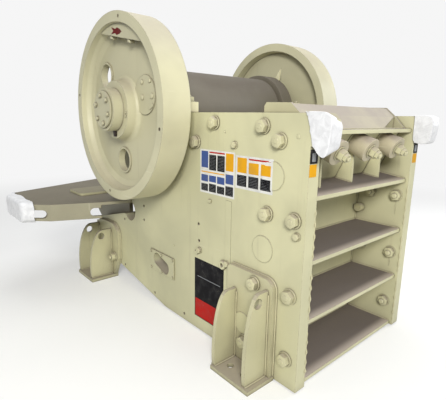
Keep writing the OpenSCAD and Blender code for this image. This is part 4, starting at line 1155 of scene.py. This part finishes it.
def tip_ring(x, grow, n):
    """Section of an arm's wrap at a place along X: a round-cornered rectangle between the arm's two slanting
    edges, drawn in by grow."""
    front = 0.515 - 0.634 * (x + 1.190) - 0.0135
    back = 0.880 + 1.633 * (x + 1.190) + 0.014
    w, h = back - front - 2 * grow, TIP_TOP - TIP_LOW - 2 * grow
    corner = min(0.034, w * 0.45, h * 0.45)
    section = round_rect(w, h, corner, 8)
    outline, _ = resampled(np.vstack([section, section[:1]]), 0.004)
    ring = spread(outline, np.linspace(0, len(outline) - 1, n + 1)[:-1])
    return np.column_stack([np.full(n, x), ring + [(front + back) / 2, (TIP_LOW + TIP_TOP) / 2]])


def tip_wrap(seed, n=200):
    """A sheet gathered over an arm's end: rings along the arm with a wavy open rim, then rings that draw in
    over the end on a rounded shoulder."""
    ragged = np.random.default_rng(seed).normal(0, 0.010, n)
    wave = np.convolve(ragged, np.ones(9) / 9, "same") + 0.004 * np.sin(np.arange(n) * 0.19)
    rows = []
    for x in np.linspace(TIP_OPEN, TIP_END + 0.012, 16):
        ring = tip_ring(x, 0.0, n)
        ring[:, 0] = x + wave * (x - TIP_END) / (TIP_OPEN - TIP_END)
        rows.append(ring)
    for a in np.linspace(0, math.pi / 2, 6)[1:]:
        rows.append(tip_ring(TIP_END + 0.012 * (1 - math.sin(a)), 0.012 * (1 - math.cos(a)), n))
    last = rows[-1]
    centre = last.mean(0)
    for q in np.linspace(1, 0.03, 14)[1:]:
        rows.append(centre + (last - centre) * q)
    return open_grid(crumpled(np.array(rows), seed, 0.0065, wrap=True), wrap=True)


def wrapped(name, shape, node_name):
    """A white wrap as a thin sheet that stands for its CAD solid."""
    ob = piece(name, shape, WRAP, smooth=80)
    skin = ob.modifiers.new("thickness", "SOLIDIFY")
    skin.thickness = 0.0012
    skin.offset = -1.0
    soft = ob.modifiers.new("softness", "SUBSURF")
    soft.levels = soft.render_levels = 1
    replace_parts(ob, node_name)


for k, (side, ear_area) in enumerate((("left", 0.0545), ("right", 0.0580))):
    flip = mirrored if side == "right" else (lambda shape: shape)
    ear, tip = flip(ear_wrap(side, 3 + k)), flip(tip_wrap(7 + k))
    wrapped("ear_wrap_" + side, ear, "ear_wraps")
    wrapped("arm_wrap_" + side, tip, "tip_wraps")


# Camera, floor and light
CAMERA_AT = (-1.834, -2.214, 1.271)
CAMERA_TURN = (-41.4372, 12.0868, 1.0084)
CAMERA_LENS = 31.213


def add_camera():
    """Camera at the photograph's angle: its back vector from azimuth and elevation, then a small roll."""
    az, el, roll = (math.radians(a) for a in CAMERA_TURN)
    back = Vector((math.sin(az) * math.cos(el), -math.cos(az) * math.cos(el), math.sin(el)))
    x = Vector((0, 0, 1)).cross(back).normalized()
    y = back.cross(x)
    cx = x * math.cos(roll) + y * math.sin(roll)
    cy = -x * math.sin(roll) + y * math.cos(roll)
    m = Matrix((cx, cy, back)).transposed().to_4x4()
    m.translation = Vector(CAMERA_AT)
    data = bpy.data.cameras.new("camera")
    data.sensor_fit = "HORIZONTAL"
    data.sensor_width = 36.0
    data.lens = CAMERA_LENS
    data.clip_start = 0.05
    cam = add_object("camera", data)
    cam.matrix_world = m
    bpy.context.scene.camera = cam


def seen_directly(tree):
    """1 for the camera's own rays, reflections and clear glass, and 0 for the light that falls on things."""
    path = node(tree, "LightPath").outputs
    return most(tree, path["Is Camera Ray"], most(tree, path["Is Glossy Ray"], path["Is Transmission Ray"]))


def pale_floor(colour, bright, far_white):
    """Pale floor that takes the object's shadow. Away from the object its colour fades out and its glow,
    which only the camera and reflections see, rises to the world's white, so that no horizon shows."""
    m, tree, shader = blank("pale floor")
    reach = node(tree, "VectorMath", {0: object_place(tree)}, operation="LENGTH").outputs["Value"]
    away = ramp(tree, reach, 2.2, 6.5)
    tree.links.new(mix(tree, away, colour, (0.0, 0.0, 0.0, 1.0)), shader.inputs["Base Color"])
    shader.inputs["Roughness"].default_value = 1.0
    shader.inputs["Specular IOR Level"].default_value = 0.0
    glow = plus(tree, bright, times(tree, away, far_white - bright))
    tree.links.new(times(tree, seen_directly(tree), glow), shader.inputs["Emission Strength"])
    shader.inputs["Emission Color"].default_value = (1, 1, 1, 1)
    return m


def add_stage():
    """A wide pale floor at the ground, and a pale world all round."""
    me = bpy.data.meshes.new("floor")
    me.from_pydata([(-30, -30, 0), (30, -30, 0), (30, 30, 0), (-30, 30, 0)], [], [(0, 1, 2, 3)])
    me.materials.append(pale_floor(srgb(214, 214, 212), 0.34, WORLD_WHITE))
    add_object("floor", me)
    world = bpy.data.worlds.new("pale world")
    world.use_nodes = True
    bpy.context.scene.world = world
    tree = world.node_tree
    tree.nodes.clear()
    lit = node(tree, "Background", {"Color": (0.95, 0.97, 1.0, 1), "Strength": 0.29})
    white = node(tree, "Background", {"Color": (1, 1, 1, 1), "Strength": WORLD_WHITE})
    both = node(tree, "MixShader", {0: seen_directly(tree), 1: lit.outputs[0], 2: white.outputs[0]})
    out = tree.nodes.new("ShaderNodeOutputWorld")
    tree.links.new(both.outputs[0], out.inputs[0])


def lamp(name, at, to, size, power, colour):
    """A rectangular lamp at a place, facing another."""
    data = bpy.data.lights.new(name, "AREA")
    data.shape = "RECTANGLE"
    data.size, data.size_y = size
    data.energy = power
    data.color = colour
    turn = (Vector(at) - Vector(to)).to_track_quat("Z", "Y").to_matrix().to_4x4()
    add_object(name, data).matrix_world = Matrix.Translation(at) @ turn


def add_light():
    """A broad lamp from the left front, one overhead and a weak one from the right."""
    lamp("front left lamp", (-4.0, -4.6, 3.4), (0, -0.3, 0.8), (1.9, 1.6), 325.0, (1.0, 0.985, 0.95))
    lamp("overhead lamp", (0.6, 0.2, 5.0), (0, 0, 0.7), (4.0, 4.0), 110.0, (0.97, 0.98, 1.0))
    lamp("right lamp", (4.6, -2.0, 2.6), (0, -0.3, 0.8), (2.4, 2.4), 90.0, (0.97, 0.98, 1.0))


add_camera()
add_stage()
add_light()
bpy.context.scene.view_settings.view_transform = "Standard"
